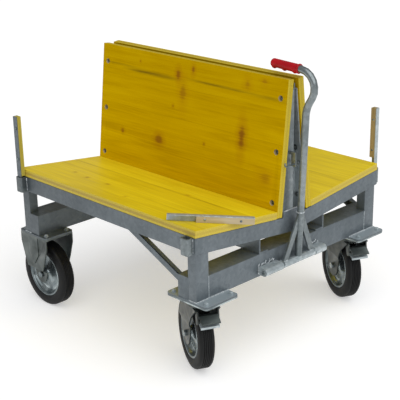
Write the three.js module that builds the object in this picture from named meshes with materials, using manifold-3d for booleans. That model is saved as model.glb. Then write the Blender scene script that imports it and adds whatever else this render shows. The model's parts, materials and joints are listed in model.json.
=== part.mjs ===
// Sheet goods cart: a galvanised frame on four casters, two tilted bays of yellow board set back to back,
// stake pockets with loose stanchions, and a cane-shaped drawbar hinged at the front end.
// Millimetres, +Z up. +X points to the drawbar end, -Y is the near side. The casters stand on z = 0.

import * as THREE from "three";
import { mergeVertices } from "three/addons/utils/BufferGeometryUtils.js";
import Module from "manifold-3d";

const wasm = await Module();
wasm.setup();

const DEGREE = Math.PI / 180;

// Driving dimensions: bays
const deckLength = 1000;
const deckWidth = 1000;
const bayTilt = 6.3 * DEGREE;
const boardThickness = 27;
const backBoardHeight = 500;
const backBoardSink = 24;
const backFootOffset = 91;
const boltEndInset = 30;
const boltDrops = [70, 262, 448];
const boltHoleRadius = 5;
const counterboreRadius = 11;
const counterboreDepth = 9;

// Driving dimensions: frame
const railThickness = 6;
const railHeight = 60;
const railFlange = 40;
const saddleRise = 26;
const saddleHalfWidth = 58;
const frontLegDepth = 40;
const frontLegWidth = 60;
const rearLegDepth = 40;
const rearLegWidth = 40;
const legWall = 3;
const beamDepth = 90;
const beamHeight = 84;
const beamWall = 4;
const mountThickness = 6;
const ventRadius = 6;
const ventInset = 60;
const tieOffset = 173;
const tieHeight = 59;
const tieThickness = 6;
const tieFlange = 40;
const braceWidth = 40;
const braceThickness = 5;
const braceFlange = 30;
const braceRun = 263;
const braceFootDrop = 27;
const braceLap = 20;
const uprightWidth = 40;
const uprightThickness = 5;
const uprightLength = 462;
const ridgeWidth = 24;
const ridgeHeight = 22;
const ridgeThickness = 4;

// Driving dimensions: stanchions and their pockets
const stakeWidth = 25;
const stakeSteelDepth = 20;
const stakeSteelWall = 2;
const stakeWoodDepth = 12;
const stakeLength = 300;
const stakeWoodLift = 16;
const stakeBoltDrop = 47;
const stakeBoltRise = 30;
const stakeBoltRadius = 3;
const pocketEndInset = 30;
const pocketWall = 5;
const pocketHeight = 61;
const pocketBend = 6;
const looseEndInset = 48;
const looseSideInset = 119;
const looseTurn = 49.5 * DEGREE;

// Driving dimensions: drawbar, hinge and catch
const hingeReach = 28;
const hingeRise = 23;
const hingePinRadius = 8;
const bracketHalfWidth = 185;
const bracketThickness = 6;
const bracketHeight = 56;
const earRadius = 17;
const sleeveRadius = 13.5;
const sleeveHalfLength = 172;
const strutFootOffset = 92;
const strutDepth = 30;
const strutThickness = 8;
const yokeRise = 178;
const tubeRadius = 13.5;
const tubeWall = 2.5;
const tubeLean = 2.6 * DEGREE;
const kinkDrop = 140;
const kinkLean = 33 * DEGREE;
const kinkRadius = 110;
const bowRadius = 62;
const gripLift = 58;
const gripRise = 2.7 * DEGREE;
const gripReach = 129;
const gripLength = 124;
const gripRadius = 16;
const gripNubs = 5;
const gripNubRadius = 6;
const gripCap = 4;
const catchRise = 196;
const catchPinRadius = 3;
const catchPinLength = 62;
const catchPinTip = 14;
const catchParkGap = 5;
const catchOffset = 22;
const keeperSize = 10;
const keeperRise = 33;
const catchLugThickness = 6;
const catchLugReach = 14;

// Driving dimensions: casters
const casterEndInset = 55;
const swivelSideInset = 82;
const swivelPlateLength = 200;
const swivelPlateWidth = 160;
const fixedSideInset = 72;
const fixedPlateLength = 175;
const fixedPlateWidth = 140;
const plateThickness = 6;
const plateCorner = 14;
const plateBoltInset = 20;
const plateBoltRadius = 6;
const wheelRadius = 137;
const tyreWidth = 60;
const treadGroove = 2.5;
const treadGrooveOffset = 8;
const rimRadius = 95;
const rimWall = 4;
const rimDish = 14;
const hubRadius = 22;
const axleRadius = 8;
const axleHeadRadius = 13;
const axleHeadThickness = 8;
const forkThickness = 5;
const wheelSideClearance = 4;
const swivelForkWidth = 116;
const swivelFootRadius = 44;
const swivelFrontBend = 78;
const swivelRearBend = 103;
const swivelRearSweep = 85;
const swivelJoggle = 8;
const swivelStepRise = 42;
const swivelStepHeight = 20;
const fixedForkEndInset = 4;
const fixedShoulderDrop = 40;
const fixedWaistWidth = 128;
const fixedWaistRise = 72;
const fixedFootRadius = 36;
const fixedStepRise = 16;
const fixedStepHeight = 20;
const fixedRibWidth = 60;
const fixedRibFoot = 20;
const fixedRibTaper = 44;
const fixedRibHeight = 3;
const swivelTrail = 80;
const swivelSwing = -26 * DEGREE;
const raceRadius = 54;
const raceHeight = 12;
const crownHeight = 14;
const kingPinRadius = 10;
const kingHeadRadius = 16;
const kingHeadThickness = 9;
const pedalPivotReach = 54;
const pedalPivotDrop = 44;
const pedalPivotRadius = 5;
const pedalWidth = 70;
const pedalThickness = 4;
const pedalEarThickness = 5;
const pedalEarRadius = 10;
const pedalLowerReach = 30;
const pedalLowerDrop = 10;
const pedalHoodReach = 40;
const pedalHoodBend = 12;
const pedalHoodRise = 26;
const pedalHoodTip = 7;
const pedalShoeDrop = 29;
const pedalTubeRadius = 9;

// Clearances
const weldGap = 0.3;
const runningGap = 0.4;
const stakeGap = 0.5;
const wheelTopGap = 6;
const shoeGap = 5.2;

// Facets
const ROUND = 12;
const HOLE = 8;
const TUBE = 14;
const WHEEL = 22;
const DISC = 24;
const ARC = 3;
const HEX = 6;
const BEND_STEPS = 6;

// Heights, from the floor up
const halfLength = deckLength / 2;
const halfWidth = deckWidth / 2;
const slope = Math.tan(bayTilt);
const crownFoot = 2 * wheelRadius + wheelTopGap + forkThickness;
const crownTop = crownFoot + crownHeight;
const casterHeight = crownTop + raceHeight + plateThickness;
const beamFoot = casterHeight + weldGap + mountThickness;
const beamTop = beamFoot + beamHeight;
const railFoot = beamTop + weldGap + tieHeight + weldGap;
const deckEdgeHeight =
  railFoot + railHeight + weldGap + boardThickness / Math.cos(bayTilt) + (halfWidth - tieOffset) * slope;
const deckTop = (y) => deckEdgeHeight - (halfWidth - Math.abs(y)) * slope;
const deckUnder = (y) => deckTop(y) - boardThickness / Math.cos(bayTilt) - weldGap;
const flangeUnder = (y) => deckUnder(y) - railThickness / Math.cos(bayTilt);
const railBottom = (y) => deckUnder(y) - railHeight;
const uprightFoot = deckTop(backFootOffset) - boardThickness * Math.cos(bayTilt);
const uprightHead = uprightFoot + uprightLength * Math.cos(bayTilt);
const ridgeFoot = uprightHead + weldGap;
const hingeHeight = beamFoot + hingeRise;
const apexHeight = hingeHeight + yokeRise;
const catchHeight = uprightFoot + catchRise;
const gripHeight = ridgeFoot + ridgeHeight + gripLift;
const kinkHeight = gripHeight - kinkDrop;

// Places along and across the cart
const legFaceX = halfLength - railThickness - weldGap;
const legFaceY = halfWidth - railThickness - weldGap;
const deckBoardWidth = (halfWidth - backFootOffset) / Math.cos(bayTilt) - boardThickness * slope;
const pocketX = halfLength - pocketEndInset;
const casterX = halfLength - casterEndInset;
const swivelY = halfWidth - swivelSideInset;
const fixedY = halfWidth - fixedSideInset;
const hingeX = legFaceX + hingeReach;
const drawbarX = (z) => hingeX + (z - hingeHeight) * Math.tan(tubeLean);
const gripEndX = hingeX - gripReach;
const catchX = drawbarX(catchHeight) - tubeRadius - catchLugReach / 2;

const steel = { color: 0x9aa1a6, roughness: 0.5, metalness: 0.8 };
const zinc = { color: 0xa9ada4, roughness: 0.35, metalness: 0.9 };
const yellowBoard = { color: 0xd6b41e, roughness: 0.55, metalness: 0 };
const paleWood = { color: 0xd8c08c, roughness: 0.7, metalness: 0 };
const rubber = { color: 0x1c1c1e, roughness: 0.8, metalness: 0 };
const redGrip = { color: 0xbe1620, roughness: 0.5, metalness: 0 };

// Solids

function solidOf(geometry) {
  const bare = geometry.index ? geometry.toNonIndexed() : geometry.clone();
  bare.deleteAttribute("normal");
  bare.deleteAttribute("uv");
  const merged = mergeVertices(bare, 1e-4);
  return new wasm.Manifold(
    new wasm.Mesh({
      numProp: 3,
      vertProperties: merged.attributes.position.array,
      triVerts: new Uint32Array(merged.index.array),
    }),
  );
}

function geometryOf(solid) {
  const { vertProperties, triVerts } = solid.getMesh();
  const indexed = new THREE.BufferGeometry()
    .setAttribute("position", new THREE.BufferAttribute(vertProperties, 3))
    .setIndex(new THREE.BufferAttribute(triVerts, 1));
  const flat = indexed.toNonIndexed();
  flat.computeVertexNormals();
  return flat;
}

const join = (...geometries) =>
  geometryOf(geometries.map(solidOf).reduce((sum, next) => sum.add(next)));

const cut = (geometry, ...tools) =>
  geometryOf(tools.map(solidOf).reduce((rest, tool) => rest.subtract(tool), solidOf(geometry)));

const overlap = (a, b) => geometryOf(solidOf(a).intersect(solidOf(b)));

function box(x, y, z) {
  const [low, high] = [0, 1].map((k) => [x, y, z].map((pair) => (k ? Math.max : Math.min)(...pair)));
  return new THREE.BoxGeometry(...high.map((h, i) => h - low[i])).translate(
    ...high.map((h, i) => (h + low[i]) / 2),
  );
}

// A shape drawn in the plane across an axis and extruded along it: (y, z) for x, (z, x) for y, (x, y) for z.
function prism(shape, axis, [from, to]) {
  const low = Math.min(from, to);
  const outline = Array.isArray(shape) ? new THREE.Shape(shape.map((p) => new THREE.Vector2(...p))) : shape;
  const geometry = new THREE.ExtrudeGeometry(outline, {
    depth: Math.abs(to - from),
    bevelEnabled: false,
    curveSegments: ARC,
  });
  geometry.translate(0, 0, low);
  const [x, y, z] = [0, 1, 2].map((i) => new THREE.Vector3().setComponent(i, 1));
  const turn = new THREE.Matrix4();
  if (axis === "x") turn.makeBasis(y, z, x);
  if (axis === "y") turn.makeBasis(z, x, y);
  return geometry.applyMatrix4(turn);
}

function rod(radius, axis, [from, to], place = [0, 0, 0], segments = ROUND) {
  const geometry = new THREE.CylinderGeometry(radius, radius, Math.abs(to - from), segments);
  geometry.translate(0, (from + to) / 2, 0);
  if (axis === "x") geometry.rotateZ(-Math.PI / 2);
  if (axis === "z") geometry.rotateX(Math.PI / 2);
  return geometry.translate(...place);
}

function roundedRectangle(width, height, radius) {
  const [w, h] = [width / 2 - radius, height / 2 - radius];
  const shape = new THREE.Shape();
  shape.absarc(w, h, radius, 0, Math.PI / 2);
  shape.absarc(-w, h, radius, Math.PI / 2, Math.PI);
  shape.absarc(-w, -h, radius, Math.PI, 1.5 * Math.PI);
  shape.absarc(w, -h, radius, 1.5 * Math.PI, 2 * Math.PI);
  return shape;
}

// A path of straight runs with round bends. Each bend has the same number of steps, each run has one.
class BentPath extends THREE.Curve {
  constructor(corners, radii) {
    super();
    this.stations = [corners[0]];
    for (let i = 1; i < corners.length - 1; i++) {
      const inward = corners[i].clone().sub(corners[i - 1]).normalize();
      const outward = corners[i + 1].clone().sub(corners[i]).normalize();
      const half = inward.angleTo(outward) / 2;
      const start = corners[i].clone().addScaledVector(inward, -radii[i - 1] * Math.tan(half));
      const toCentre = outward.clone().sub(inward).normalize();
      const centre = corners[i].clone().addScaledVector(toCentre, radii[i - 1] / Math.cos(half));
      const axis = new THREE.Vector3().crossVectors(inward, outward).normalize();
      for (let k = 0; k <= BEND_STEPS; k++) {
        const arm = start.clone().sub(centre).applyAxisAngle(axis, (2 * half * k) / BEND_STEPS);
        this.stations.push(arm.add(centre));
      }
    }
    this.stations.push(corners.at(-1));
  }
  get steps() {
    return this.stations.length - 1;
  }
  getUtoTmapping(u) {
    return u;
  }
  getPoint(t, target = new THREE.Vector3()) {
    const at = Math.min(Math.max(t, 0), 1) * this.steps;
    const i = Math.min(Math.floor(at), this.steps - 1);
    return target.lerpVectors(this.stations[i], this.stations[i + 1], at - i);
  }
}

function bentRod(radius, path, segments = TUBE) {
  const section = new THREE.Shape().absarc(0, 0, radius, 0, 2 * Math.PI);
  return new THREE.ExtrudeGeometry(section, {
    steps: path.steps,
    extrudePath: path,
    bevelEnabled: false,
    curveSegments: segments / 2,
  });
}

// A ring or disc turned about the Y axis from an outline of (radius, y) points that closes on itself.
// The outline runs from the inside outwards along its upper edge and back along its lower edge.
// A flat lies at the bottom, as a loaded tyre has.
function turned(outline) {
  const points = outline.map(([radius, y]) => new THREE.Vector2(radius, y)).reverse();
  return new THREE.LatheGeometry([...points, points[0].clone()], WHEEL).rotateY(Math.PI / WHEEL);
}

function piece(group, name, geometry, finish) {
  const mesh = new THREE.Mesh(geometry, new THREE.MeshStandardMaterial(finish));
  mesh.name = name;
  group.add(mesh);
  return mesh;
}

const cart = new THREE.Group();
const ENDS = [
  ["front", 1],
  ["rear", -1],
];
const SIDES = [
  ["near", -1],
  ["far", 1],
];

// Bays: a deck board and a back board at right angles, tilted together towards the middle of the cart.
// In a bay's own frame X runs along the cart, Z up the back board, and the boards meet at the origin.

function bayFrame(sign) {
  const turn = new THREE.Group();
  turn.rotation.z = sign > 0 ? Math.PI : 0;
  const bay = new THREE.Group();
  bay.position.set(0, -backFootOffset, deckTop(backFootOffset));
  bay.rotation.x = -bayTilt;
  turn.add(bay);
  cart.add(turn);
  return bay;
}

function boltHole(x, drop) {
  const z = backBoardHeight - backBoardSink - drop;
  return [
    rod(boltHoleRadius, "y", [-1, boardThickness + 1], [x, 0, z], HOLE),
    rod(counterboreRadius, "y", [-1, counterboreDepth], [x, 0, z], HOLE),
  ];
}

const bays = {};
for (const [side, sign] of SIDES) {
  const bay = bayFrame(sign);
  const deck = box([-halfLength, halfLength], [-deckBoardWidth, -weldGap], [-boardThickness, 0]);
  piece(bay, `${side}_deck_board`, deck, yellowBoard);
  const back = box(
    [-halfLength, halfLength],
    [0, boardThickness],
    [-backBoardSink, backBoardHeight - backBoardSink],
  );
  const boltX = halfLength - boltEndInset;
  const holes = boltDrops.flatMap((drop) => [...boltHole(-boltX, drop), ...boltHole(boltX, drop)]);
  piece(bay, `${side}_back_board`, cut(back, ...holes), yellowBoard);
  bays[side] = bay;
}

// Rails: folded angles along the sides, and V-shaped angles across the ends with a saddle for the uprights

for (const [side, sign] of SIDES) {
  const [outer, inner, lip] = [halfWidth, halfWidth - railThickness, halfWidth - railThickness - railFlange];
  const outline = [
    [outer, railBottom(outer)],
    [inner, railBottom(outer)],
    [inner, flangeUnder(inner)],
    [lip, flangeUnder(lip)],
    [lip, deckUnder(lip)],
    [outer, deckUnder(outer)],
  ];
  const rail = prism(outline.map(([y, z]) => [sign * y, z]), "x", [-legFaceX, legFaceX]);
  piece(cart, `${side}_long_rail`, rail, steel);
}

for (const [end, sign] of ENDS) {
  const lip = halfWidth - railThickness - railFlange - weldGap;
  const inner = halfLength - railThickness;
  const web = prism(
    [
      [-halfWidth, deckUnder(halfWidth)],
      [-saddleHalfWidth, deckUnder(saddleHalfWidth)],
      [-saddleHalfWidth, deckUnder(0) + saddleRise],
      [saddleHalfWidth, deckUnder(0) + saddleRise],
      [saddleHalfWidth, deckUnder(saddleHalfWidth)],
      [halfWidth, deckUnder(halfWidth)],
      [halfWidth, railBottom(halfWidth)],
      [0, railBottom(0)],
      [-halfWidth, railBottom(halfWidth)],
    ],
    "x",
    [sign * inner, sign * halfLength],
  );
  const flange = prism(
    [
      [-lip, deckUnder(lip)],
      [0, deckUnder(0)],
      [lip, deckUnder(lip)],
      [lip, flangeUnder(lip)],
      [0, flangeUnder(0)],
      [-lip, flangeUnder(lip)],
    ],
    "x",
    [sign * (inner - railFlange), sign * (inner + railThickness / 2)],
  );
  piece(cart, `${end}_end_rail`, join(web, flange), steel);
}

// Legs, cross beams, ties and braces

function legBox(sign, side, grow) {
  const depth = sign > 0 ? frontLegDepth : rearLegDepth;
  const width = sign > 0 ? frontLegWidth : rearLegWidth;
  return {
    x: [sign * (legFaceX - depth - grow), sign * (legFaceX + grow)],
    y: [side * (legFaceY - width - grow), side * (legFaceY + grow)],
  };
}

function beamBox(sign, grow) {
  return box(
    [sign * (legFaceX - beamDepth - grow), sign * (legFaceX + grow)],
    [-legFaceY - grow, legFaceY + grow],
    [beamFoot - weldGap - grow, beamTop + grow],
  );
}

// The rounded plates of the casters, with a bolt hole near each corner, drawn about their own middle
function boltedPlate(length, width, [low, high]) {
  const [boltX, boltY] = [length / 2 - plateBoltInset, width / 2 - plateBoltInset];
  const bolts = [-1, 1].flatMap((u) =>
    [-1, 1].map((v) => rod(plateBoltRadius, "z", [low - 1, high + 1], [u * boltX, v * boltY, 0], HOLE)),
  );
  return cut(prism(roundedRectangle(length, width, plateCorner), "z", [low, high]), ...bolts);
}

const swivelPlateBlank = (heights) => boltedPlate(swivelPlateLength, swivelPlateWidth, heights);
const fixedPlateBlank = (heights) => boltedPlate(fixedPlateLength, fixedPlateWidth, heights);

// Each leg stands on a mount plate, and the beam between the two plates is notched round the legs.
for (const [end, sign] of ENDS) {
  for (const [side, away] of SIDES) {
    const outer = legBox(sign, away, 0);
    const bore = legBox(sign, away, -legWall);
    const tube = cut(
      box(outer.x, outer.y, [beamFoot + weldGap, deckEdgeHeight]),
      box(bore.x, bore.y, [casterHeight, deckEdgeHeight + 1]),
    );
    const [low, high] = [halfWidth / 2, halfWidth + 1];
    const above = prism(
      [
        [away * low, flangeUnder(low) - weldGap],
        [away * high, flangeUnder(high) - weldGap],
        [away * high, 2 * deckEdgeHeight],
        [away * low, 2 * deckEdgeHeight],
      ],
      "x",
      [-deckLength, deckLength],
    );
    piece(cart, `${end}_${side}_leg`, cut(tube, above), steel);
  }
  const roundLegs = (grow) =>
    SIDES.map(([, away]) => {
      const leg = legBox(sign, away, grow);
      return box(leg.x, leg.y, [0, deckEdgeHeight]);
    });
  const bore = box(
    [sign * (legFaceX - beamDepth + beamWall), sign * (legFaceX - beamWall)],
    [-legFaceY + beamWall, legFaceY - beamWall],
    [beamFoot + beamWall, beamTop - beamWall],
  );
  const casterY = sign > 0 ? swivelY : fixedY;
  const mountWidth = sign > 0 ? swivelPlateWidth : fixedPlateWidth;
  const mountPlate = sign > 0 ? swivelPlateBlank : fixedPlateBlank;
  const vents = SIDES.map(([, away]) =>
    rod(
      ventRadius,
      "z",
      [beamFoot - 2 * beamWall, beamFoot + 2 * beamWall],
      [sign * (legFaceX - beamDepth / 2), away * (casterY - mountWidth / 2 - ventInset), 0],
      HOLE,
    ),
  );
  const hollow = cut(bore, ...roundLegs(weldGap + beamWall));
  const beam = cut(beamBox(sign, 0), ...roundLegs(weldGap), hollow, ...vents);
  const mounts = SIDES.map(([, away]) =>
    mountPlate([casterHeight + weldGap, beamFoot]).translate(sign * casterX, away * casterY, 0),
  );
  piece(cart, `${end}_cross_beam`, join(beam, ...mounts), steel);
}

for (const [side, sign] of SIDES) {
  const foot = beamTop + weldGap;
  const outline = [
    [tieOffset + tieThickness, foot],
    [tieOffset + tieThickness, railBottom(tieOffset) - weldGap],
    [tieOffset, railBottom(tieOffset) - weldGap],
    [tieOffset, foot + tieThickness],
    [tieOffset - tieFlange, foot + tieThickness],
    [tieOffset - tieFlange, foot],
  ];
  const tie = prism(outline.map(([y, z]) => [sign * y, z]), "x", [-legFaceX, legFaceX]);
  piece(cart, `${side}_tie_angle`, tie, steel);

  const reach = legFaceX - frontLegDepth;
  const braceTopX = reach - braceRun;
  const braceSlope = Math.atan2(railBottom(halfWidth) - beamTop + braceFootDrop, braceRun);
  const rise = Math.sin(braceSlope);
  const run = Math.cos(braceSlope);
  const along = (distance, across) => [
    railBottom(halfWidth) - distance * rise + across * run,
    braceTopX + distance * run + across * rise,
  ];
  const strip = (low, high) => [
    along(-deckLength / 2, low),
    along(deckLength / 2, low),
    along(deckLength / 2, high),
    along(-deckLength / 2, high),
  ];
  const skin = prism(strip(-braceWidth / 2, braceWidth / 2), "y", [
    sign * legFaceY,
    sign * (legFaceY - braceThickness),
  ]);
  const ledge = prism(strip(-braceWidth / 2, braceThickness - braceWidth / 2), "y", [
    sign * legFaceY,
    sign * (legFaceY - braceFlange),
  ]);
  const leg = legBox(1, sign, weldGap);
  const brace = cut(
    overlap(
      join(skin, ledge),
      box([0, reach], [-halfWidth, halfWidth], [casterHeight, railBottom(halfWidth) + braceLap]),
    ),
    beamBox(1, weldGap),
    box(leg.x, leg.y, [0, deckEdgeHeight]),
  );
  piece(cart, `${side}_brace`, brace, steel);
}

// Uprights: at each end two leaning angles carry the back boards, and a ridge bar joins their tops.
// The near one at the front also carries the keeper that guides the drawbar's catch pin.

// Drawn at the front end, on the side given, with its web at the front or at the back of the angle.
function upright(side, webInFront) {
  const innerFoot = backFootOffset - boardThickness / Math.cos(bayTilt) - weldGap;
  const boardFace = (z) => innerFoot - (z - deckTop(backFootOffset)) * slope;
  const thick = uprightThickness / Math.cos(bayTilt);
  const [back, front] = [legFaceX - uprightWidth, legFaceX];
  const strip = (edge) => [
    [side * boardFace(uprightFoot), uprightFoot],
    [side * boardFace(uprightHead), uprightHead],
    [side * edge(uprightHead), uprightHead],
    [side * edge(uprightFoot), uprightFoot],
  ];
  const plate = prism(strip((z) => boardFace(z) - thick), "x", [back, front]);
  const web = prism(
    strip(() => weldGap),
    "x",
    webInFront ? [front - uprightThickness, front] : [back, back + uprightThickness],
  );
  const below = prism(
    [
      [-halfWidth, 0],
      [halfWidth, 0],
      [halfWidth, deckUnder(halfWidth) + weldGap],
      [0, deckUnder(0) + weldGap],
      [-halfWidth, deckUnder(halfWidth) + weldGap],
    ],
    "x",
    [0, deckLength],
  );
  return cut(join(plate, web), below);
}

function keeper() {
  const front = drawbarX(catchHeight) - tubeRadius - runningGap;
  const top = catchHeight + keeperRise;
  const y = [-catchOffset - keeperSize / 2, -catchOffset + keeperSize / 2];
  const bar = box([legFaceX - uprightThickness, front], y, [top, top + keeperSize]);
  const tab = box([front - 2 * keeperSize, front], y, [catchHeight - keeperSize, top + keeperSize]);
  const bore = rod(catchPinRadius + runningGap, "y", [-halfWidth, 0], [catchX, 0, catchHeight], HOLE);
  return cut(join(bar, tab), bore);
}

for (const [end, sign] of ENDS) {
  const holder = new THREE.Group();
  holder.rotation.z = sign > 0 ? 0 : Math.PI;
  cart.add(holder);
  for (const [side, away] of SIDES) {
    const angle = upright(sign * away, sign * away < 0);
    const carriesCatch = sign > 0 && away < 0;
    piece(holder, `${end}_${side}_upright`, carriesCatch ? join(angle, keeper()) : angle, steel);
  }
}

const ridgeFlange = box(
  [-legFaceX, legFaceX],
  [-ridgeWidth / 2, ridgeWidth / 2],
  [ridgeFoot, ridgeFoot + ridgeThickness],
);
const ridgeWeb = box(
  [-legFaceX, legFaceX],
  [-ridgeThickness / 2, ridgeThickness / 2],
  [ridgeFoot, ridgeFoot + ridgeHeight],
);
piece(cart, "ridge_bar", join(ridgeFlange, ridgeWeb), steel);

// Stake pockets: a bent strap with a floor at each corner of the long rails

const pocketInner = [stakeWidth + 2 * stakeGap, stakeSteelDepth + 2 * stakeGap];
const pocketTop = deckUnder(halfWidth);
const pocketFloor = pocketTop - pocketHeight + pocketWall;

function pocket(sign) {
  const [width, depth] = pocketInner;
  const outline = roundedRectangle(width + 2 * pocketWall, 2 * (depth + pocketWall), pocketBend);
  const hollow = roundedRectangle(width, 2 * depth, pocketBend - pocketWall);
  const outside = halfWidth + weldGap;
  const shell = cut(
    prism(outline, "z", [pocketTop - pocketHeight, pocketTop]),
    prism(hollow, "z", [pocketFloor, pocketTop + 1]),
    box([-halfLength, halfLength], [0, -sign * halfWidth], [0, deckEdgeHeight]),
  );
  return shell.translate(0, sign * outside, 0);
}

for (const [end, sign] of ENDS) {
  for (const [side, away] of SIDES) {
    const mesh = piece(cart, `${end}_${side}_pocket`, pocket(away), steel);
    mesh.position.x = sign * pocketX;
  }
}

// Stanchions: a square tube with a wooden facing. One of the four lies loose on the near deck.
// Each is drawn upright with its foot at z = 0 and its wooden face towards +Y.

const stakeFoot = pocketFloor + weldGap;

function stanchion(holder, name) {
  const side = stakeWidth / 2;
  const woodFoot = deckEdgeHeight + stakeWoodLift - stakeFoot;
  const bolts = [woodFoot + stakeBoltRise, stakeLength - stakeBoltDrop].map((z) =>
    rod(stakeBoltRadius, "y", [-deckWidth, deckWidth], [0, 0, z], HOLE),
  );
  const bore = box(
    [-side + stakeSteelWall, side - stakeSteelWall],
    [stakeSteelWall, stakeSteelDepth - stakeSteelWall],
    [-1, stakeLength + 1],
  );
  const tube = cut(box([-side, side], [0, stakeSteelDepth], [0, stakeLength]), bore, ...bolts);
  piece(holder, `${name}_tube`, tube, steel);
  const face = stakeSteelDepth + weldGap;
  const facing = box(
    [-side, side],
    [face, face + stakeWoodDepth],
    [woodFoot, stakeLength],
  );
  piece(holder, `${name}_facing`, cut(facing, ...bolts), paleWood);
}

function placeInPocket(holder, sign, away) {
  const outerFace = halfWidth + weldGap + stakeGap + stakeSteelDepth;
  holder.position.set(sign * pocketX, away * outerFace, stakeFoot);
  holder.rotation.z = away > 0 ? Math.PI : 0;
  cart.add(holder);
}

// Lying on its side: its length slants across the deck and its wooden face looks out of the front corner.
function layOnDeck(holder) {
  const along = new THREE.Vector3(Math.cos(looseTurn), Math.sin(looseTurn), 0);
  const across = new THREE.Vector3(Math.sin(looseTurn), -Math.cos(looseTurn), 0);
  const up = new THREE.Vector3(0, 0, 1);
  holder.setRotationFromMatrix(new THREE.Matrix4().makeBasis(up, across, along));
  holder.position
    .set(
      halfLength - looseEndInset,
      (looseSideInset + backFootOffset - halfWidth) / Math.cos(bayTilt),
      stakeWidth / 2 + weldGap,
    )
    .addScaledVector(along, -stakeLength / 2)
    .addScaledVector(across, -(stakeSteelDepth + stakeWoodDepth) / 2);
  bays.near.add(holder);
}

for (const [end, sign] of ENDS) {
  for (const [side, away] of SIDES) {
    const holder = new THREE.Group();
    if (sign > 0 && away < 0) layOnDeck(holder);
    else placeInPocket(holder, sign, away);
    stanchion(holder, `${end}_${side}_stanchion`);
  }
}

// Drawbar: bracket and pin on the front beam, a yoke of flat struts, and a bent tube with a moulded grip

function hingeBracket() {
  const face = legFaceX + weldGap;
  const low = hingeHeight - earRadius - bracketThickness;
  const back = box(
    [face, face + bracketThickness],
    [-bracketHalfWidth, bracketHalfWidth],
    [low, low + bracketHeight],
  );
  const ears = SIDES.map(([, away]) => {
    const shape = new THREE.Shape();
    shape.moveTo(low, face);
    shape.lineTo(low, hingeX);
    shape.absarc(hingeHeight, hingeX, earRadius, Math.PI, 0, true);
    shape.lineTo(low + bracketHeight, face);
    return prism(shape, "y", [away * bracketHalfWidth, away * (bracketHalfWidth - bracketThickness)]);
  });
  const bore = rod(
    hingePinRadius + runningGap,
    "y",
    [-halfWidth, halfWidth],
    [hingeX, 0, hingeHeight],
  );
  return cut(join(back, ...ears), bore);
}

piece(cart, "hinge_bracket", hingeBracket(), steel);
const pinEnd = bracketHalfWidth + bracketThickness;
piece(
  cart,
  "hinge_pin",
  rod(hingePinRadius, "y", [-pinEnd, pinEnd], [hingeX, 0, hingeHeight]),
  steel,
);

// The tube's centre line from the given height up to the given distance past the grip's end.
function drawbarPath(foot, past) {
  const kinkX = drawbarX(kinkHeight);
  const gripZ = (x) => gripHeight - (x - gripEndX) * Math.tan(gripRise);
  const climb = Math.tan(kinkLean);
  const bowX =
    (kinkX + climb * (gripHeight + gripEndX * Math.tan(gripRise) - kinkHeight)) /
    (1 + climb * Math.tan(gripRise));
  const corners = [
    [drawbarX(foot), foot],
    [kinkX, kinkHeight],
    [bowX, gripZ(bowX)],
    [gripEndX - past, gripZ(gripEndX - past)],
  ].map(([x, z]) => new THREE.Vector3(x, 0, z));
  return new BentPath(corners, [kinkRadius, bowRadius]);
}

function drawbarFrame() {
  const hinge = [hingeX, 0, hingeHeight];
  const sleeve = rod(sleeveRadius, "y", [-sleeveHalfLength, sleeveHalfLength], hinge, TUBE);
  const lean = new THREE.Matrix4().makeShear(0, 0, 0, 0, Math.tan(tubeLean), 0);
  const struts = SIDES.map(([, away]) =>
    prism(
      [
        [away * (strutFootOffset - strutThickness / 2), 0],
        [away * (strutFootOffset + strutThickness / 2), 0],
        [(away * strutThickness) / 2, apexHeight - hingeHeight],
        [(-away * strutThickness) / 2, apexHeight - hingeHeight],
      ],
      "x",
      [-strutDepth / 2, strutDepth / 2],
    )
      .applyMatrix4(lean)
      .translate(...hinge),
  );
  const tube = bentRod(tubeRadius, drawbarPath(hingeHeight, 0));
  const hollow = bentRod(tubeRadius - tubeWall, drawbarPath(apexHeight, 1), HOLE);
  const lugFace = drawbarX(catchHeight) - tubeRadius;
  const lug = box(
    [lugFace - catchLugReach, lugFace + tubeRadius / 2],
    [-catchLugThickness / 2, catchLugThickness / 2],
    [catchHeight - catchLugReach / 2, catchHeight + catchLugReach / 2],
  );
  const bore = rod(hingePinRadius + runningGap, "y", [-halfWidth, halfWidth], hinge);
  const eye = rod(catchPinRadius + runningGap, "y", [-halfWidth, halfWidth], [catchX, 0, catchHeight]);
  return cut(join(sleeve, ...struts, tube, lug), hollow, bore, eye);
}

piece(cart, "drawbar", drawbarFrame(), steel);

// The grip's own X axis runs along the tube to its free end, and its Z axis points down.
function grip() {
  const sleeve = rod(gripRadius, "x", [-gripLength, gripCap], [0, 0, 0], TUBE);
  const nubs = Array.from({ length: gripNubs }, (_, i) =>
    rod(
      gripNubRadius,
      "y",
      [-gripRadius / 2, gripRadius / 2],
      [-gripLength + ((i + 0.5) * gripLength) / gripNubs, 0, gripRadius - gripNubRadius / 2],
      HOLE,
    ),
  );
  const bore = rod(tubeRadius + weldGap, "x", [-gripLength - 1, weldGap], [0, 0, 0], 2 * TUBE);
  return cut(join(sleeve, ...nubs), bore);
}

const handGrip = piece(cart, "drawbar_grip", grip(), redGrip);
handGrip.position.set(gripEndX, 0, gripHeight);
handGrip.rotation.y = Math.PI + gripRise;

// Catch pin: a bent wire that slides through the keeper into the drawbar's lug, shown drawn back

const catchEnd = -catchOffset + keeperSize / 2 + catchParkGap;
const catchPath = new BentPath(
  [
    [catchEnd, 0],
    [catchEnd - catchPinLength, 0],
    [catchEnd - catchPinLength, catchPinTip],
  ].map(([y, rise]) => new THREE.Vector3(catchX, y, catchHeight + rise)),
  [2 * catchPinRadius],
);
piece(cart, "catch_pin", bentRod(catchPinRadius, catchPath, HOLE), steel);

// Casters: the wheel, its axle and the parts of the fork are drawn about the caster's own upright axis.
// X points forward, so a swivel caster's wheel trails behind its axis towards -X.

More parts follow.
